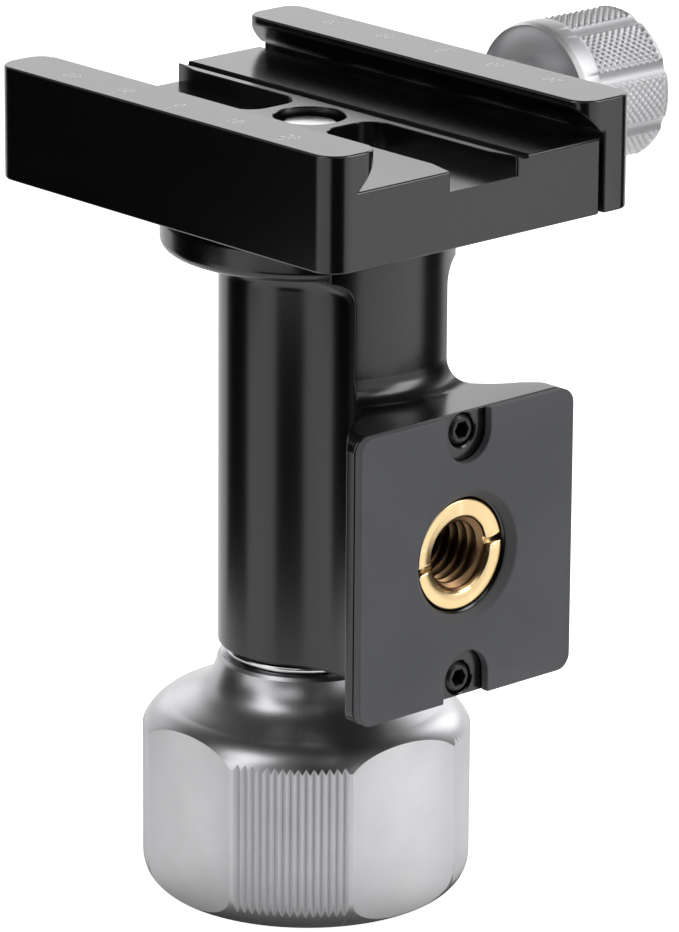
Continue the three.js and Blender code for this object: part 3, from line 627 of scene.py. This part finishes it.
ring_bore = 7.3 * MM
ring_sleeve = 9.1 * MM
ring_sleeve_bottom = 27.7 * MM
ring_radius = 10.2 * MM
ring_low = 31 * MM
ring_high = 31.7 * MM
ring_top = 31.9 * MM
ring_edge = 0.08 * MM
ring_sharpest = math.radians(50)
ring = turned("pressure_ring_skin", [
    (ring_bore, ring_sleeve_bottom),
    (ring_sleeve, ring_sleeve_bottom),
    (ring_sleeve, ring_low),
    (ring_radius - ring_edge, ring_low),
    (ring_radius, ring_low + ring_edge),
    (ring_radius, ring_high - ring_edge),
    (ring_radius - ring_edge, ring_high),
    (ring_sleeve, ring_high),
    (ring_sleeve, ring_top),
    (ring_bore, ring_top),
], closed=True)
ring.data.set_sharp_from_angle(angle=ring_sharpest)
steel = finish("ground_steel", (0.6, 0.6, 0.62), (0.8, 0.8, 0.8), 0.22, 0.16, 1.0, 0.000002)
dress(ring, steel)
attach(ring, "pressure_ring")
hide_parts("pressure_ring")

# Inner pieces: bushes, washer, spindle, screws, pins and springs stay as they are packed and get
# the metals that they are made of.

bronze = finish("sintered_bronze", (0.55, 0.36, 0.18), (0.7, 0.5, 0.3), 0.4, 0.3, 1.0, 0.000004)
nylon = finish("natural_nylon", (0.8, 0.79, 0.74), (0.85, 0.85, 0.82), 0.5, 0.45, 0.0, 0.000003)
inner_finish = {"steel": steel, "black_steel": black_steel, "bronze": bronze, "nylon": nylon}
slots = {entry["node"]: entry["material_slot"] for entry in frame["record"]["subparts"]}
for node, packed in frame["nodes"].items():
    if slots[node] in inner_finish:
        dress(packed, inner_finish[slots[node]])

# Turntable disc: the turned flange under the clamp, same black finish as the housing.

disc_bottom = 87.5 * MM
disc_top = 89.9 * MM
disc_bore = 7.2 * MM
disc = turned("turntable_disc_skin", [
    (disc_bore, disc_bottom),
    (flange_radius - edge, disc_bottom),
    *arc((flange_radius - edge, disc_bottom + edge), edge, -90, 0, 3)[1:],
    *arc((flange_radius - edge / 2, disc_top - edge / 2), edge / 2, 0, 90, 3),
    (disc_bore, disc_top),
], closed=True)
dress(disc, black_anodised)
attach(disc, "rotor")
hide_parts("turntable_disc")

# Clamp base: floor of the dovetail groove and the fixed jaw in one piece of black aluminium, with
# a stop slot from each end, a shallow channel beside them and a counterbore for the bright bolt head.

clamp_bottom = 90 * MM
clamp_top = 104.3 * MM
clamp_half_length = 31 * MM
fixed_side = -24.4 * MM
moving_side = 25.1 * MM
fixed_corner = 3.15 * MM
moving_corner = 2.4 * MM
groove_floor = 99.62 * MM
jaw_lip = 16.4 * MM
lip_height = 1 * MM
lip_foot = clamp_top - lip_height
lip_corner = 2.8 * MM
lip_steps = 16
base_end = 19.35 * MM
jaw_gap = 0.7 * MM
jaw_inner = base_end + jaw_gap
jaw_ledge = 100.2 * MM
fixed_undercut = lip_foot - groove_floor
moving_undercut = lip_foot - jaw_ledge
channel_inner = 5.7 * MM
channel_width = 1.6 * MM
channel_depth = 0.5 * MM
rim_chamfer = 0.12 * MM
tool_rise = 0.3 * MM
stop_half_width = 4.5 * MM
stop_mouth_half_width = 5.4 * MM
stop_mouth_length = 4.2 * MM
stop_flare = 3.7 * MM
stop_mouth_round = 0.45 * MM
stop_floor = 97.18 * MM
stop_start = 6.3 * MM
stop_corner = 3 * MM
counterbore_radius = 4.5 * MM
counterbore_floor = 95.9 * MM
screw_height = 95.5 * MM
screw_hole_radius = 3.2 * MM
screw_hole_end = 7.7 * MM
bolt_hole_radius = 2.7 * MM
guide_height = 94.6 * MM
guide_offset = 22 * MM
guide_hole_radius = 2.2 * MM
guide_hole_end = 7.4 * MM
guide_skin = 0.9 * MM
spring_offset = 12 * MM
spring_pocket_end = 12 * MM
clamp_edge = 0.3 * MM
clamp_sharpest = 40


def lip_corners(side):
    """Tools for the rounds at both ends of one jaw's lip, seen from above."""
    made = []
    across = side * (jaw_lip + lip_corner)
    clear = side * (jaw_lip - past)
    for end in (-1, 1):
        along = end * (clamp_half_length - lip_corner)
        beyond = end * (clamp_half_length + past)
        quarter_round = arc((0, 0), lip_corner, 0, 90, lip_steps)
        rounded = [(across - side * x, along + end * y) for x, y in quarter_round]
        corner = [(clear, along), *rounded, (across, beyond), (clear, beyond)]
        if side * end < 0:
            corner.reverse()
        made.append(raised("lip_corner", corner, groove_floor + pad_gap, clamp_top + past))
    return made


def grown(outline, amount):
    """The outline moved outwards: each point goes along the sum of its two edges' normals, by the amount
    over one plus the cosine between them."""
    flat = np.array(outline)
    edges = flat - np.roll(flat, 1, axis=0)
    normals = np.stack([edges[:, 1], -edges[:, 0]], axis=-1) / np.hypot(*edges.T)[:, None]
    after = np.roll(normals, -1, axis=0)
    cosine = (normals * after).sum(axis=1)[:, None]
    return flat + amount * (normals + after) / (1 + cosine)


def sunk(name, outline, floor, rim, chamfer=rim_chamfer):
    """A cutting tool: the outline carried up to a chamfer below the rim, then grown at 45 degrees past it."""
    levels = [(0, floor), (0, rim - chamfer), (chamfer + tool_rise, rim + tool_rise)]
    return surface(name, np.stack([
        np.column_stack([grown(outline, growth), np.full(len(outline), height)]) for growth, height in levels
    ]))


def stop_slot(end):
    """A slot from one end of the groove, rounded at its inner end, a little wider at its mouth, where its
    walls turn outwards in small rounds. The rear slot is the front one turned half round."""
    start = -stop_start
    step = -clamp_half_length + stop_mouth_length
    beyond = stop_mouth_half_width + stop_mouth_round
    half = [
        (beyond, -clamp_half_length - past),
        *arc((beyond, -clamp_half_length + stop_mouth_round), stop_mouth_round, -90, -180, 5),
        (stop_mouth_half_width, step - stop_flare),
        (stop_half_width, step),
        *arc((stop_half_width - stop_corner, start - stop_corner), stop_corner, 0, 90),
    ]
    outline = half + [(-x, y) for x, y in reversed(half)]
    turned_outline = [(-end * x, -end * y) for x, y in outline]
    return sunk("stop_slot", turned_outline, stop_floor, groove_floor)


def channel():
    reach = clamp_half_length + past
    outer = channel_inner + channel_width
    outline = [(channel_inner, -reach), (outer, -reach), (outer, reach), (channel_inner, reach)]
    return sunk("channel", outline, groove_floor - channel_depth, groove_floor)


def along_x(radius, low, high, aside, height=guide_height):
    """Tools for holes along X on both sides of the middle, or for one in the middle."""
    return [turned("hole", rod(radius, low, high), SMALL_AROUND, ALONG_X, (0, place, height))
            for place in sorted({-aside, aside})]


def clamp_part(name, section, plan, side):
    """A section carried along the clamp and limited to its plan, with a rounded lip and broken edges."""
    made = raised(name, section, -clamp_half_length, clamp_half_length, ALONG_FRONT)
    combine(made, "INTERSECT", raised("plan", plan, clamp_bottom - past, clamp_top + past))
    combine(made, "DIFFERENCE", *lip_corners(side))
    return break_edges(made, clamp_edge, 3)


base_section = [
    (fixed_side, clamp_bottom),
    (base_end, clamp_bottom),
    (base_end, groove_floor),
    (-jaw_lip - fixed_undercut, groove_floor),
    (-jaw_lip, lip_foot),
    (-jaw_lip, clamp_top),
    (fixed_side, clamp_top),
]
base_plan = rounded_rectangle(fixed_side, base_end, -clamp_half_length, clamp_half_length, fixed_corner, edge)
base = combine(
    clamp_part("clamp_base_skin", base_section, base_plan, -1), "DIFFERENCE",
    stop_slot(-1),
    stop_slot(1),
    channel(),
    turned("counterbore", hole(counterbore_radius, counterbore_floor, groove_floor, rim_chamfer),
           PLAIN_AROUND),
    turned("bolt_hole", rod(bolt_hole_radius, clamp_bottom - past, groove_floor), SMALL_AROUND),
    *along_x(screw_hole_radius, screw_hole_end, base_end + past, 0, screw_height),
    *along_x(guide_hole_radius, guide_hole_end, base_end + past, guide_offset),
    *along_x(guide_hole_radius, spring_pocket_end, base_end + past, spring_offset),
)
soften(base, clamp_sharpest)
dress(base, black_anodised)
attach(base, "rotor")
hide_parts("clamp_base")

# Clamp bolt: the bright plain head in the middle of the groove that holds the clamp on the spindle.

bolt_radius = 2.5 * MM
bolt_head_radius = 3.55 * MM
bolt_head_bottom = 96 * MM
bolt_head_top = 98.8 * MM
bolt_length = 22 * MM
bolt_edge = 0.5 * MM
bolt = turned("clamp_bolt_skin", [
    (bolt_radius, bolt_head_bottom - bolt_length),
    (bolt_radius, bolt_head_bottom),
    (bolt_head_radius, bolt_head_bottom),
    *arc((bolt_head_radius - bolt_edge, bolt_head_top - bolt_edge), bolt_edge, 0, 90, 4),
], PLAIN_AROUND)
dress(bolt, steel)
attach(bolt, "rotor")
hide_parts("clamp_bolt")

# Moving jaw: slides on two pins, with the same lip, undercut and rounded lip ends as the fixed jaw.

jaw_section = [
    (jaw_inner, clamp_bottom),
    (moving_side, clamp_bottom),
    (moving_side, clamp_top),
    (jaw_lip, clamp_top),
    (jaw_lip, lip_foot),
    (jaw_lip + moving_undercut, jaw_ledge),
    (jaw_inner, jaw_ledge),
]
jaw_plan = rounded_rectangle(jaw_lip, moving_side, -clamp_half_length, clamp_half_length, edge, moving_corner)
jaw = combine(
    clamp_part("moving_jaw_skin", jaw_section, jaw_plan, 1), "DIFFERENCE",
    *along_x(screw_hole_radius, jaw_inner - past, moving_side + past, 0, screw_height),
    *along_x(guide_hole_radius, jaw_inner - past, moving_side - guide_skin, guide_offset),
)
soften(jaw, clamp_sharpest)
dress(jaw, black_anodised)
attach(jaw, "jaw")
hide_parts("moving_jaw")

# Jaw springs: two coils of steel wire in pockets of the clamp base that push the moving jaw open, each
# reaching from the end of its pocket to the moving jaw's inner face where the jaw rests.

coil_radius = 1.5 * MM
wire_radius = 0.25 * MM
coil_turns = 6
coil_clear = 0.35 * MM
coil_start = spring_pocket_end + coil_clear
coil_end = jaw_inner - coil_clear


def coil(name, aside, steps=288, sides=10):
    """A tube round a helix along X: the centre line's place grows with the share of its length while it turns
    round the axis, and each ring lies on the outward direction and the one square to it and to the wire."""
    share = np.linspace(0, 1, steps + 1)[:, None]
    turn = FULL_TURN * coil_turns * share
    outward = np.concatenate([0 * turn, np.cos(turn), np.sin(turn)], axis=1)
    start, end = (np.array([x, aside, guide_height]) for x in (coil_start, coil_end))
    centres = coil_radius * outward + start + (end - start) * share
    rise = (coil_end - coil_start) / (FULL_TURN * coil_turns)
    along = np.concatenate([rise + 0 * turn, -coil_radius * np.sin(turn), coil_radius * np.cos(turn)], axis=1)
    along /= np.linalg.norm(along, axis=1)[:, None]
    sideways = np.cross(along, outward)
    angle = np.arange(sides)[:, None] * FULL_TURN / sides
    round_wire = np.cos(angle) * outward[:, None] + np.sin(angle) * sideways[:, None]
    return surface(name, centres[:, None] + wire_radius * round_wire)


for name, side in (("front_jaw_spring", -1), ("rear_jaw_spring", 1)):
    spring = coil(name + "_skin", side * spring_offset)
    dress(spring, steel)
    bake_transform(spring)
    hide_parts(name)

# Jaw scales: plain numbers every ten millimetres with a short tick, laser marked light grey on the
# tops of both jaws.

mark_height = 0.012 * MM
mark_size = 2.5 * MM
mark_step = 10 * MM
mark_unit = 10
mark_reach = 2
mark_curve = 3
tick_length = 1.6 * MM
tick_width = 0.16 * MM
tick_inset = 0.7 * MM
number_inset = 3.3 * MM
laser_grey = finish("laser_grey", (0.7, 0.7, 0.71), (0.75, 0.75, 0.76), 0.5, 0.45, 0.0, 0.000003)


def number_mark(text, place, turn):
    """A flat number made a mesh, turned about Z and laid on the jaw top at its centre."""
    curve = bpy.data.curves.new("number", "FONT")
    curve.body = text
    curve.size = mark_size
    curve.align_x = "CENTER"
    curve.align_y = "CENTER"
    curve.extrude = mark_height / 2
    curve.resolution_u = mark_curve
    written = in_scene("number", curve)
    made = bpy.data.meshes.new_from_object(written.evaluated_get(bpy.context.evaluated_depsgraph_get()))
    bpy.data.objects.remove(written)
    made.transform(Matrix.Translation(place) @ Matrix.Rotation(turn, 4, "Z"))
    return made


def jaw_scale(name, edge_x, inward, turn, body):
    """Numbers and ticks along one jaw: the ticks start near its outer edge, the numbers stand inside them."""
    middle_height = clamp_top + mark_height / 2
    joined = bmesh.new()
    for step in range(-mark_reach, mark_reach + 1):
        along = step * mark_step
        place = (edge_x + inward * number_inset, along, middle_height)
        joined.from_mesh(number_mark(str(abs(step) * mark_unit), place, turn))
        start, end = sorted((edge_x + inward * tick_inset, edge_x + inward * (tick_inset + tick_length)))
        low = (start, along - tick_width / 2, clamp_top)
        bar = box_between("tick", low, (end, along + tick_width / 2, clamp_top + mark_height))
        joined.from_mesh(bar.data)
        bpy.data.objects.remove(bar)
    made = mesh_object(name, [], [])
    joined.to_mesh(made.data)
    joined.free()
    made.data.shade_flat()
    dress(made, laser_grey)
    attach(made, body)


jaw_scale("fixed_jaw_scale", fixed_side, 1, -math.pi / 2, "rotor")
jaw_scale("moving_jaw_scale", moving_side, -1, math.pi / 2, "jaw")

# Clamp knob: turned aluminium with a dished near face, a plain band, then a diamond knurl between
# eight smooth flutes. Clear anodised, satin.

grip_radius = 9.8 * MM
grip_rim_radius = 9.48 * MM
grip_start = 37.7 * MM
grip_crest = 38.5 * MM
knurl_start = 41 * MM
knurl_end = 51.8 * MM
grip_end = 52.8 * MM
hub_radius = 5.5 * MM
hub_start = 26.3 * MM
dish_depth = 1.8 * MM
knurl_count = 58
knurl_pitch = 1.06 * MM
knurl_depth = 0.28 * MM
flute_count = 8
flute_turn = math.radians(23.5)
flute_radius = 1.8 * MM
flute_depth = 0.5 * MM
knurl_samples = 8
knurl_gain = 1.25
knurl_fade = 0.3 * MM
knurl_runout = 0.15 * MM
crest_step = (0.05 * MM, 0.2 * MM)
end_step = (0.2 * MM, 0.35 * MM)
end_round = 0.8 * MM
end_centre = 8.22 * MM
dish_start = 15
dish_steps = 7
knurl_sharpest = math.radians(40)


def flute_wall(turn):
    """Distance of the fluted outline from the axis: round scoops about centres outside the grip."""
    centre = grip_radius - flute_depth + flute_radius
    off = (turn - flute_turn + math.pi / flute_count) % (FULL_TURN / flute_count) - math.pi / flute_count
    inside = flute_radius ** 2 - (centre * np.sin(off)) ** 2
    near = centre * np.cos(off) - np.sqrt(np.maximum(inside, 0))
    return np.where(inside > 0, near, grip_radius * 2)


def knurled_grip():
    """Radius over place along the knob and turn: the grip's radius less the depth of a diamond pattern, which
    is one less the smaller of two triangle waves that climb opposite ways, and never outside the flutes."""
    turn = np.arange(knurl_count * knurl_samples) * FULL_TURN / (knurl_count * knurl_samples)
    rows = int((knurl_end - knurl_start) / knurl_pitch * knurl_samples) + 1
    place = np.linspace(knurl_start, knurl_end, rows)[:, None]
    across = turn * knurl_count / FULL_TURN
    along = (place - knurl_start) / knurl_pitch
    first = 1 - np.abs(2 * ((across + along) % 1) - 1)
    second = 1 - np.abs(2 * ((across - along) % 1) - 1)
    fade = np.clip(np.minimum(place - knurl_start, knurl_end - place) / knurl_fade, 0, 1)
    crest = grip_radius - knurl_depth * fade * (1 - np.minimum(knurl_gain * np.minimum(first, second), 1))
    radius = np.minimum(crest, flute_wall(turn))
    plain = [
        (hub_radius - edge, hub_start),
        (hub_radius, hub_start + edge),
        (hub_radius, grip_start + dish_depth),
        *dish_curve(),
        (grip_rim_radius, grip_start),
        (grip_radius - crest_step[0], grip_crest - crest_step[1]),
        (grip_radius, grip_crest),
        (grip_radius, knurl_start - knurl_fade),
    ]
    fluted = [
        (grip_radius, knurl_end + knurl_runout),
        (grip_radius - end_step[0], grip_end - end_step[1]),
        (grip_radius - end_round, grip_end),
    ]

    walls, places = np.array(fluted).T[:, :, None]
    return np.concatenate([
        rings_of(plain, turn),
        circled(radius, place, turn),
        circled(np.minimum(walls, flute_wall(turn)), places, turn),
        rings_of([(end_centre, grip_end)], turn),
    ])


def dish_curve():
    """A quarter of an ellipse from the foot of the hub out to the rim."""
    angle = np.radians(np.linspace(dish_start, 90, dish_steps + 1))
    wide = grip_rim_radius - hub_radius
    radius = hub_radius + wide * np.sin(angle)
    place = grip_start + dish_depth * np.cos(angle)
    return list(zip(radius, place))[:-1]


knob = surface("clamp_knob_skin", knurled_grip() @ ALONG_X.T + np.array([0, 0, screw_height]))
silver = finish("silver_anodised", (0.58, 0.58, 0.595), (0.95, 0.95, 0.96), 0.48, 0.36, 0.8, 0.000005)
knob.data.set_sharp_from_angle(angle=knurl_sharpest)
dress(knob, silver)
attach(knob, "clamp_knob")
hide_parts("clamp_knob")

# Tilt knob: a large turned knob with four milled flats and straight ribs on the rounds between them.
# Its shoulder sweeps up in a bell to a narrow rim. Clear anodised, satin.

knob_radius = 20.6 * MM
knob_flat = 18.93 * MM
knob_flat_turn = math.radians(-92.5)
knob_rounding = 4.4 * MM
shoulder_edge = (17.1 * MM, 24.45 * MM)
shoulder_size = 5.86 * MM
shoulder_start = math.radians(25)
rim_radius = 11.2 * MM
rim_height = 30.6 * MM
bell_pulls = [(14.6 * MM, 25.7 * MM), (11.9 * MM, 26.3 * MM)]
ribs_per_land = 15
rib_depth = 0.4 * MM
rib_span = 0.94
cap_radius = 11.7 * MM
cap_recess = 2.2 * MM
cap_edge = 0.3 * MM
knob_bore_radius = 8.2 * MM
spring_seat_radius = 9.6 * MM
spring_seat_height = 24.8 * MM
flat_steps = 40
rib_samples = 8
round_steps = 12
shoulder_steps = 14
bell_steps = 27
knob_sharpest = math.radians(14)
turned_lean = 0.12
half_flat = math.acos(knob_flat / knob_radius)
half_land = math.pi / 4 - half_flat


def knob_turns():
    """The turns at which the knob is worked out: ribs by eighths on the lands, plain steps on the flats."""
    turns_made = []
    for side in range(4):
        flat = knob_flat_turn + side * math.pi / 2
        turns_made.append(np.linspace(flat - half_flat, flat + half_flat, flat_steps + 1))
        land = flat + math.pi / 4
        turns_made.append(land + half_land * rib_span * np.linspace(-1, 1, ribs_per_land * rib_samples + 1))
    return np.concatenate(turns_made)


def knob_limit(turn):
    """Distance from the axis that the flats and ribs leave: the flat's distance over the cosine on a flat,
    a triangle wave of grooves and crests below the full radius on a land."""
    tiny = 1e-9
    off = (turn - knob_flat_turn + math.pi / 4) % (math.pi / 2) - math.pi / 4
    flat = knob_flat / np.cos(off)
    land = (turn - knob_flat_turn) % (math.pi / 2) - math.pi / 4
    place = (land / (half_land * rib_span) + 1) / 2 * ribs_per_land
    groove = 1 - np.abs(2 * (place % 1) - 1)
    ribbed = np.abs(land) <= half_land * rib_span + tiny
    depth = rib_depth * groove * ribbed
    return np.minimum(flat, knob_radius) - np.where(np.abs(off) < half_flat - tiny, 0, depth)


def swept(centre, size, start, end, steps):
    """Radius and height on an arc about a centre, by equal steps of its angle, whose ends may change with
    the turn."""
    angle = start + np.linspace(0, 1, steps)[:, None] * (end - start)
    return centre[0] + size * np.cos(angle), centre[1] + size * np.sin(angle)


def knob_body():
    """Columns of points up the knob, one per turn: up the bottom rounding until the limit is met, straight
    up to where the shoulder's arc meets it again, over the shoulder and up the bell, a cubic curve with two
    pulls, to the rim."""
    turn = knob_turns()
    limit = knob_limit(turn)
    inner = knob_radius - knob_rounding
    meet = np.arccos(np.clip((limit - inner) / knob_rounding, 0, 1))
    corner = knob_radius - shoulder_size * math.cos(shoulder_start)
    meet_top = np.arccos((limit - corner) / shoulder_size)
    last = math.acos((shoulder_edge[0] - corner) / shoulder_size)
    shoulder_level = shoulder_edge[1] - shoulder_size * math.sin(last)
    share = np.linspace(0, 1, bell_steps + 1)[1:, None]
    rest = 1 - share
    weights = np.hstack([rest ** 3, 3 * share * rest ** 2, 3 * share ** 2 * rest, share ** 3])
    bell = weights @ np.array([shoulder_edge, *bell_pulls, (rim_radius, rim_height - edge)])
    return np.concatenate([
        rings_of([(cap_radius, cap_edge), (cap_radius + cap_edge, 0)], turn),
        circled(*swept((inner, knob_rounding), knob_rounding, -math.pi / 2, -meet, round_steps), turn),
        circled(*swept((corner, shoulder_level), shoulder_size, meet_top, last, shoulder_steps), turn),
        rings_of([*bell, (rim_radius - edge, rim_height)], turn),
    ])


tilt_knob = surface("tilt_knob_skin", knob_body())
combine(
    tilt_knob, "DIFFERENCE",
    turned("recess", rod(cap_radius, -past, cap_recess), PLAIN_AROUND),
    turned("knob_bore", rod(knob_bore_radius, -past, rim_height + past), PLAIN_AROUND),
    turned("spring_seat", rod(spring_seat_radius, spring_seat_height, rim_height + past), PLAIN_AROUND),
)
tilt_knob.data.set_sharp_from_angle(angle=knob_sharpest)
turned_silver = finish("turned_silver", (0.5, 0.5, 0.515), (0.66, 0.66, 0.675), 0.32, 0.26, 1.0, 0.000002)
dress(tilt_knob, silver)
dress_some(tilt_knob, turned_silver, face_values(tilt_knob.data, "normal")[:, 2] > turned_lean)
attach(tilt_knob, "tilt_knob")
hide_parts("tilt_knob")
dress(frame["nodes"]["tilt_knob_cap"], silver)

# Floor, background and light: a white sweep under soft boxes. The floor lies as far below the knob as
# the knob moves down when it is loosened.

floor_size = 3.0
floor_level = -2.6 * MM
half_floor = floor_size / 2
floor_corners = [
    (-half_floor, -half_floor, floor_level), (half_floor, -half_floor, floor_level),
    (half_floor, half_floor, floor_level), (-half_floor, half_floor, floor_level),
]
floor = mesh_object("floor", floor_corners, [(0, 1, 2, 3)])


def matt(name, level, roughness):
    """A grey material without shine."""
    made = bpy.data.materials.new(name)
    made.use_nodes = True
    put(made.node_tree, made.node_tree.nodes["Principled BSDF"], {
        "Base Color": (level, level, level, 1), "Roughness": roughness, "Specular IOR Level": 0.0,
    })
    return made


def seen_directly(tree, reflected):
    """One for what the camera sees, the level given for what a reflection or glass sees, and nought for what
    only lights the object."""
    path = add_node(tree, "LightPath", {})
    mirrored = sums(tree, "MAXIMUM", path.outputs["Is Glossy Ray"], path.outputs["Is Transmission Ray"])
    return sums(tree, "MAXIMUM", path.outputs["Is Camera Ray"], sums(tree, "MULTIPLY", mirrored, reflected))


floor_reflected = 0.6
paper = matt("white_paper", 0.8, 0.9)
put(paper.node_tree, paper.node_tree.nodes["Principled BSDF"], {
    "Emission Color": (1, 1, 1, 1), "Emission Strength": seen_directly(paper.node_tree, floor_reflected),
})
floor.data.materials.append(paper)

world = bpy.data.worlds.new("studio")
bpy.context.scene.world = world
world.use_nodes = True
sky = world.node_tree
ambient = 0.25
sky_reflected = 1.0
seen_level = 1.0
ceiling_start = math.sin(math.radians(24))
ceiling_end = math.sin(math.radians(40))
ceiling_level = 0.05
direction = add_node(sky, "TexCoord", {})
parts_of = add_node(sky, "SeparateXYZ", {"Vector": direction.outputs["Generated"]})
ceiling = add_node(sky, "MapRange", {
    "Value": parts_of.outputs["Z"], "From Min": ceiling_start, "From Max": ceiling_end,
    "To Min": seen_level, "To Max": ceiling_level,
}, interpolation_type="SMOOTHSTEP")
brightness = add_node(sky, "Mix", {
    "Factor": seen_directly(sky, sky_reflected), "A": ambient, "B": ceiling.outputs["Result"],
})
put(sky, sky.nodes["Background"], {"Color": (1, 1, 1, 1), "Strength": brightness.outputs["Result"]})

# Studio: soft boxes at the back and sides, and black cloth between them that only reflections see,
# so that the turned faces get their dark bands.

middle = Vector((0, 0, 0.06))


def around_object(turn, height, away):
    """A place at a turn in degrees and an angle above the table in degrees, a distance from the object."""
    return middle + away * Vector((
        math.cos(math.radians(turn)) * math.cos(math.radians(height)),
        math.sin(math.radians(turn)) * math.cos(math.radians(height)),
        math.sin(math.radians(height)),
    ))


def soft_box(name, turn, height, away, wide, tall, radiance):
    """A rectangular lamp that faces the object; its power is radiance times pi times its area."""
    lamp = bpy.data.lights.new(name, "AREA")
    lamp.shape = "RECTANGLE"
    lamp.size = wide
    lamp.size_y = tall
    lamp.energy = radiance * math.pi * wide * tall
    made = in_scene(name, lamp)
    place = around_object(turn, height, away)
    facing = (middle - place).to_track_quat("-Z", "Y").to_matrix().to_4x4()
    made.matrix_world = Matrix.Translation(place) @ facing
    made.visible_camera = False
    return made


soft_box("rear_box", 50, 22, 0.8, 0.75, 0.45, 0.7)
soft_box("left_box", 168, 20, 0.8, 0.3, 0.5, 0.6)
soft_box("top_left_box", 166, 48, 0.8, 0.34, 0.5, 2.4)
soft_box("top_right_box", -50, 38, 0.8, 0.3, 0.6, 5.0)
soft_box("front_box", -92, 48, 0.9, 0.3, 0.3, 1.4)
soft_box("right_box", 10, 25, 0.8, 0.25, 0.4, 2.0)

cloth = matt("black_cloth", 0.0, 1.0)
cloth_away = 0.12
cloth_top = 0.14
cloth_foot = 0.0005
cloth_split = 0.052
cloth_steps = 12


def show_in_reflections(name, points, faces):
    made = mesh_object(name, points, faces)
    made.data.materials.append(cloth)
    made.visible_camera = False
    made.visible_diffuse = False
    made.visible_shadow = False


def hang_cloth(name, start, end, low=cloth_foot, high=cloth_top):
    """A strip of a cylinder round the object, between two turns in degrees."""
    turn = np.radians(np.linspace(start, end, cloth_steps + 1))
    points = rings_of([(cloth_away, low), (cloth_away, high)], turn)
    index = np.arange(2 * len(turn)).reshape(2, -1)
    faces = np.stack([index[0, :-1], index[0, 1:], index[1, 1:], index[1, :-1]], -1)
    show_in_reflections(name, points.reshape(-1, 3).tolist(), faces.tolist())


hang_cloth("cloth_rear_left", 106, 148, high=cloth_split)
hang_cloth("cloth_rear_left_high", 106, 166, low=cloth_split)
hang_cloth("cloth_left", 188, 262, high=cloth_split)
hang_cloth("cloth_left_high", 218, 262, low=cloth_split)
hang_cloth("cloth_right", -42, -16)

# A black disc under the knob, seen only in reflections, is painted shade: it darkens what the knob's bottom
# round reflects, as the shade beneath the knob would
shade_disc_radius = 30 * MM
shade_disc_rise = 0.05 * MM
shade_disc_level = floor_level + shade_disc_rise
shade_disc_points = [(x, y, shade_disc_level) for x, y in arc((0, 0), shade_disc_radius, 0, 360, SMALL_AROUND)[:-1]]
# This disc is painted shade under the knob, seen only in reflections.
show_in_reflections("mat", shade_disc_points, [list(range(len(shade_disc_points)))])

# Camera: the photograph's view, from its left front and a little above, with its slight turn.

azimuth = math.radians(-42.374)
elevation = math.radians(17.344)
tilt = math.radians(0.406)
aim_height = 51.65 * MM
distance = 790.7 * MM
aside = 3.92 * MM
above = 3.02 * MM
frame_height_px = 932
focal_px = 6360
sensor = 36
right = Vector((math.cos(azimuth), math.sin(azimuth), 0))
level_back = Vector((math.sin(azimuth), -math.cos(azimuth), 0))
back = level_back * math.cos(elevation) + Vector((0, 0, math.sin(elevation)))
up = back.cross(right)
camera_right = right * math.cos(tilt) + up * math.sin(tilt)
camera_up = up * math.cos(tilt) - right * math.sin(tilt)
camera_place = Vector((0, 0, aim_height)) + back * distance + right * aside + up * above
lens = bpy.data.cameras.new("camera")
lens.sensor_width = sensor
lens.lens = focal_px / frame_height_px * sensor
camera = in_scene("camera", lens)
turn_matrix = Matrix((camera_right, camera_up, back)).transposed().to_4x4()
camera.matrix_world = Matrix.Translation(camera_place) @ turn_matrix
bpy.context.scene.camera = camera
bpy.context.scene.view_settings.view_transform = "Standard"
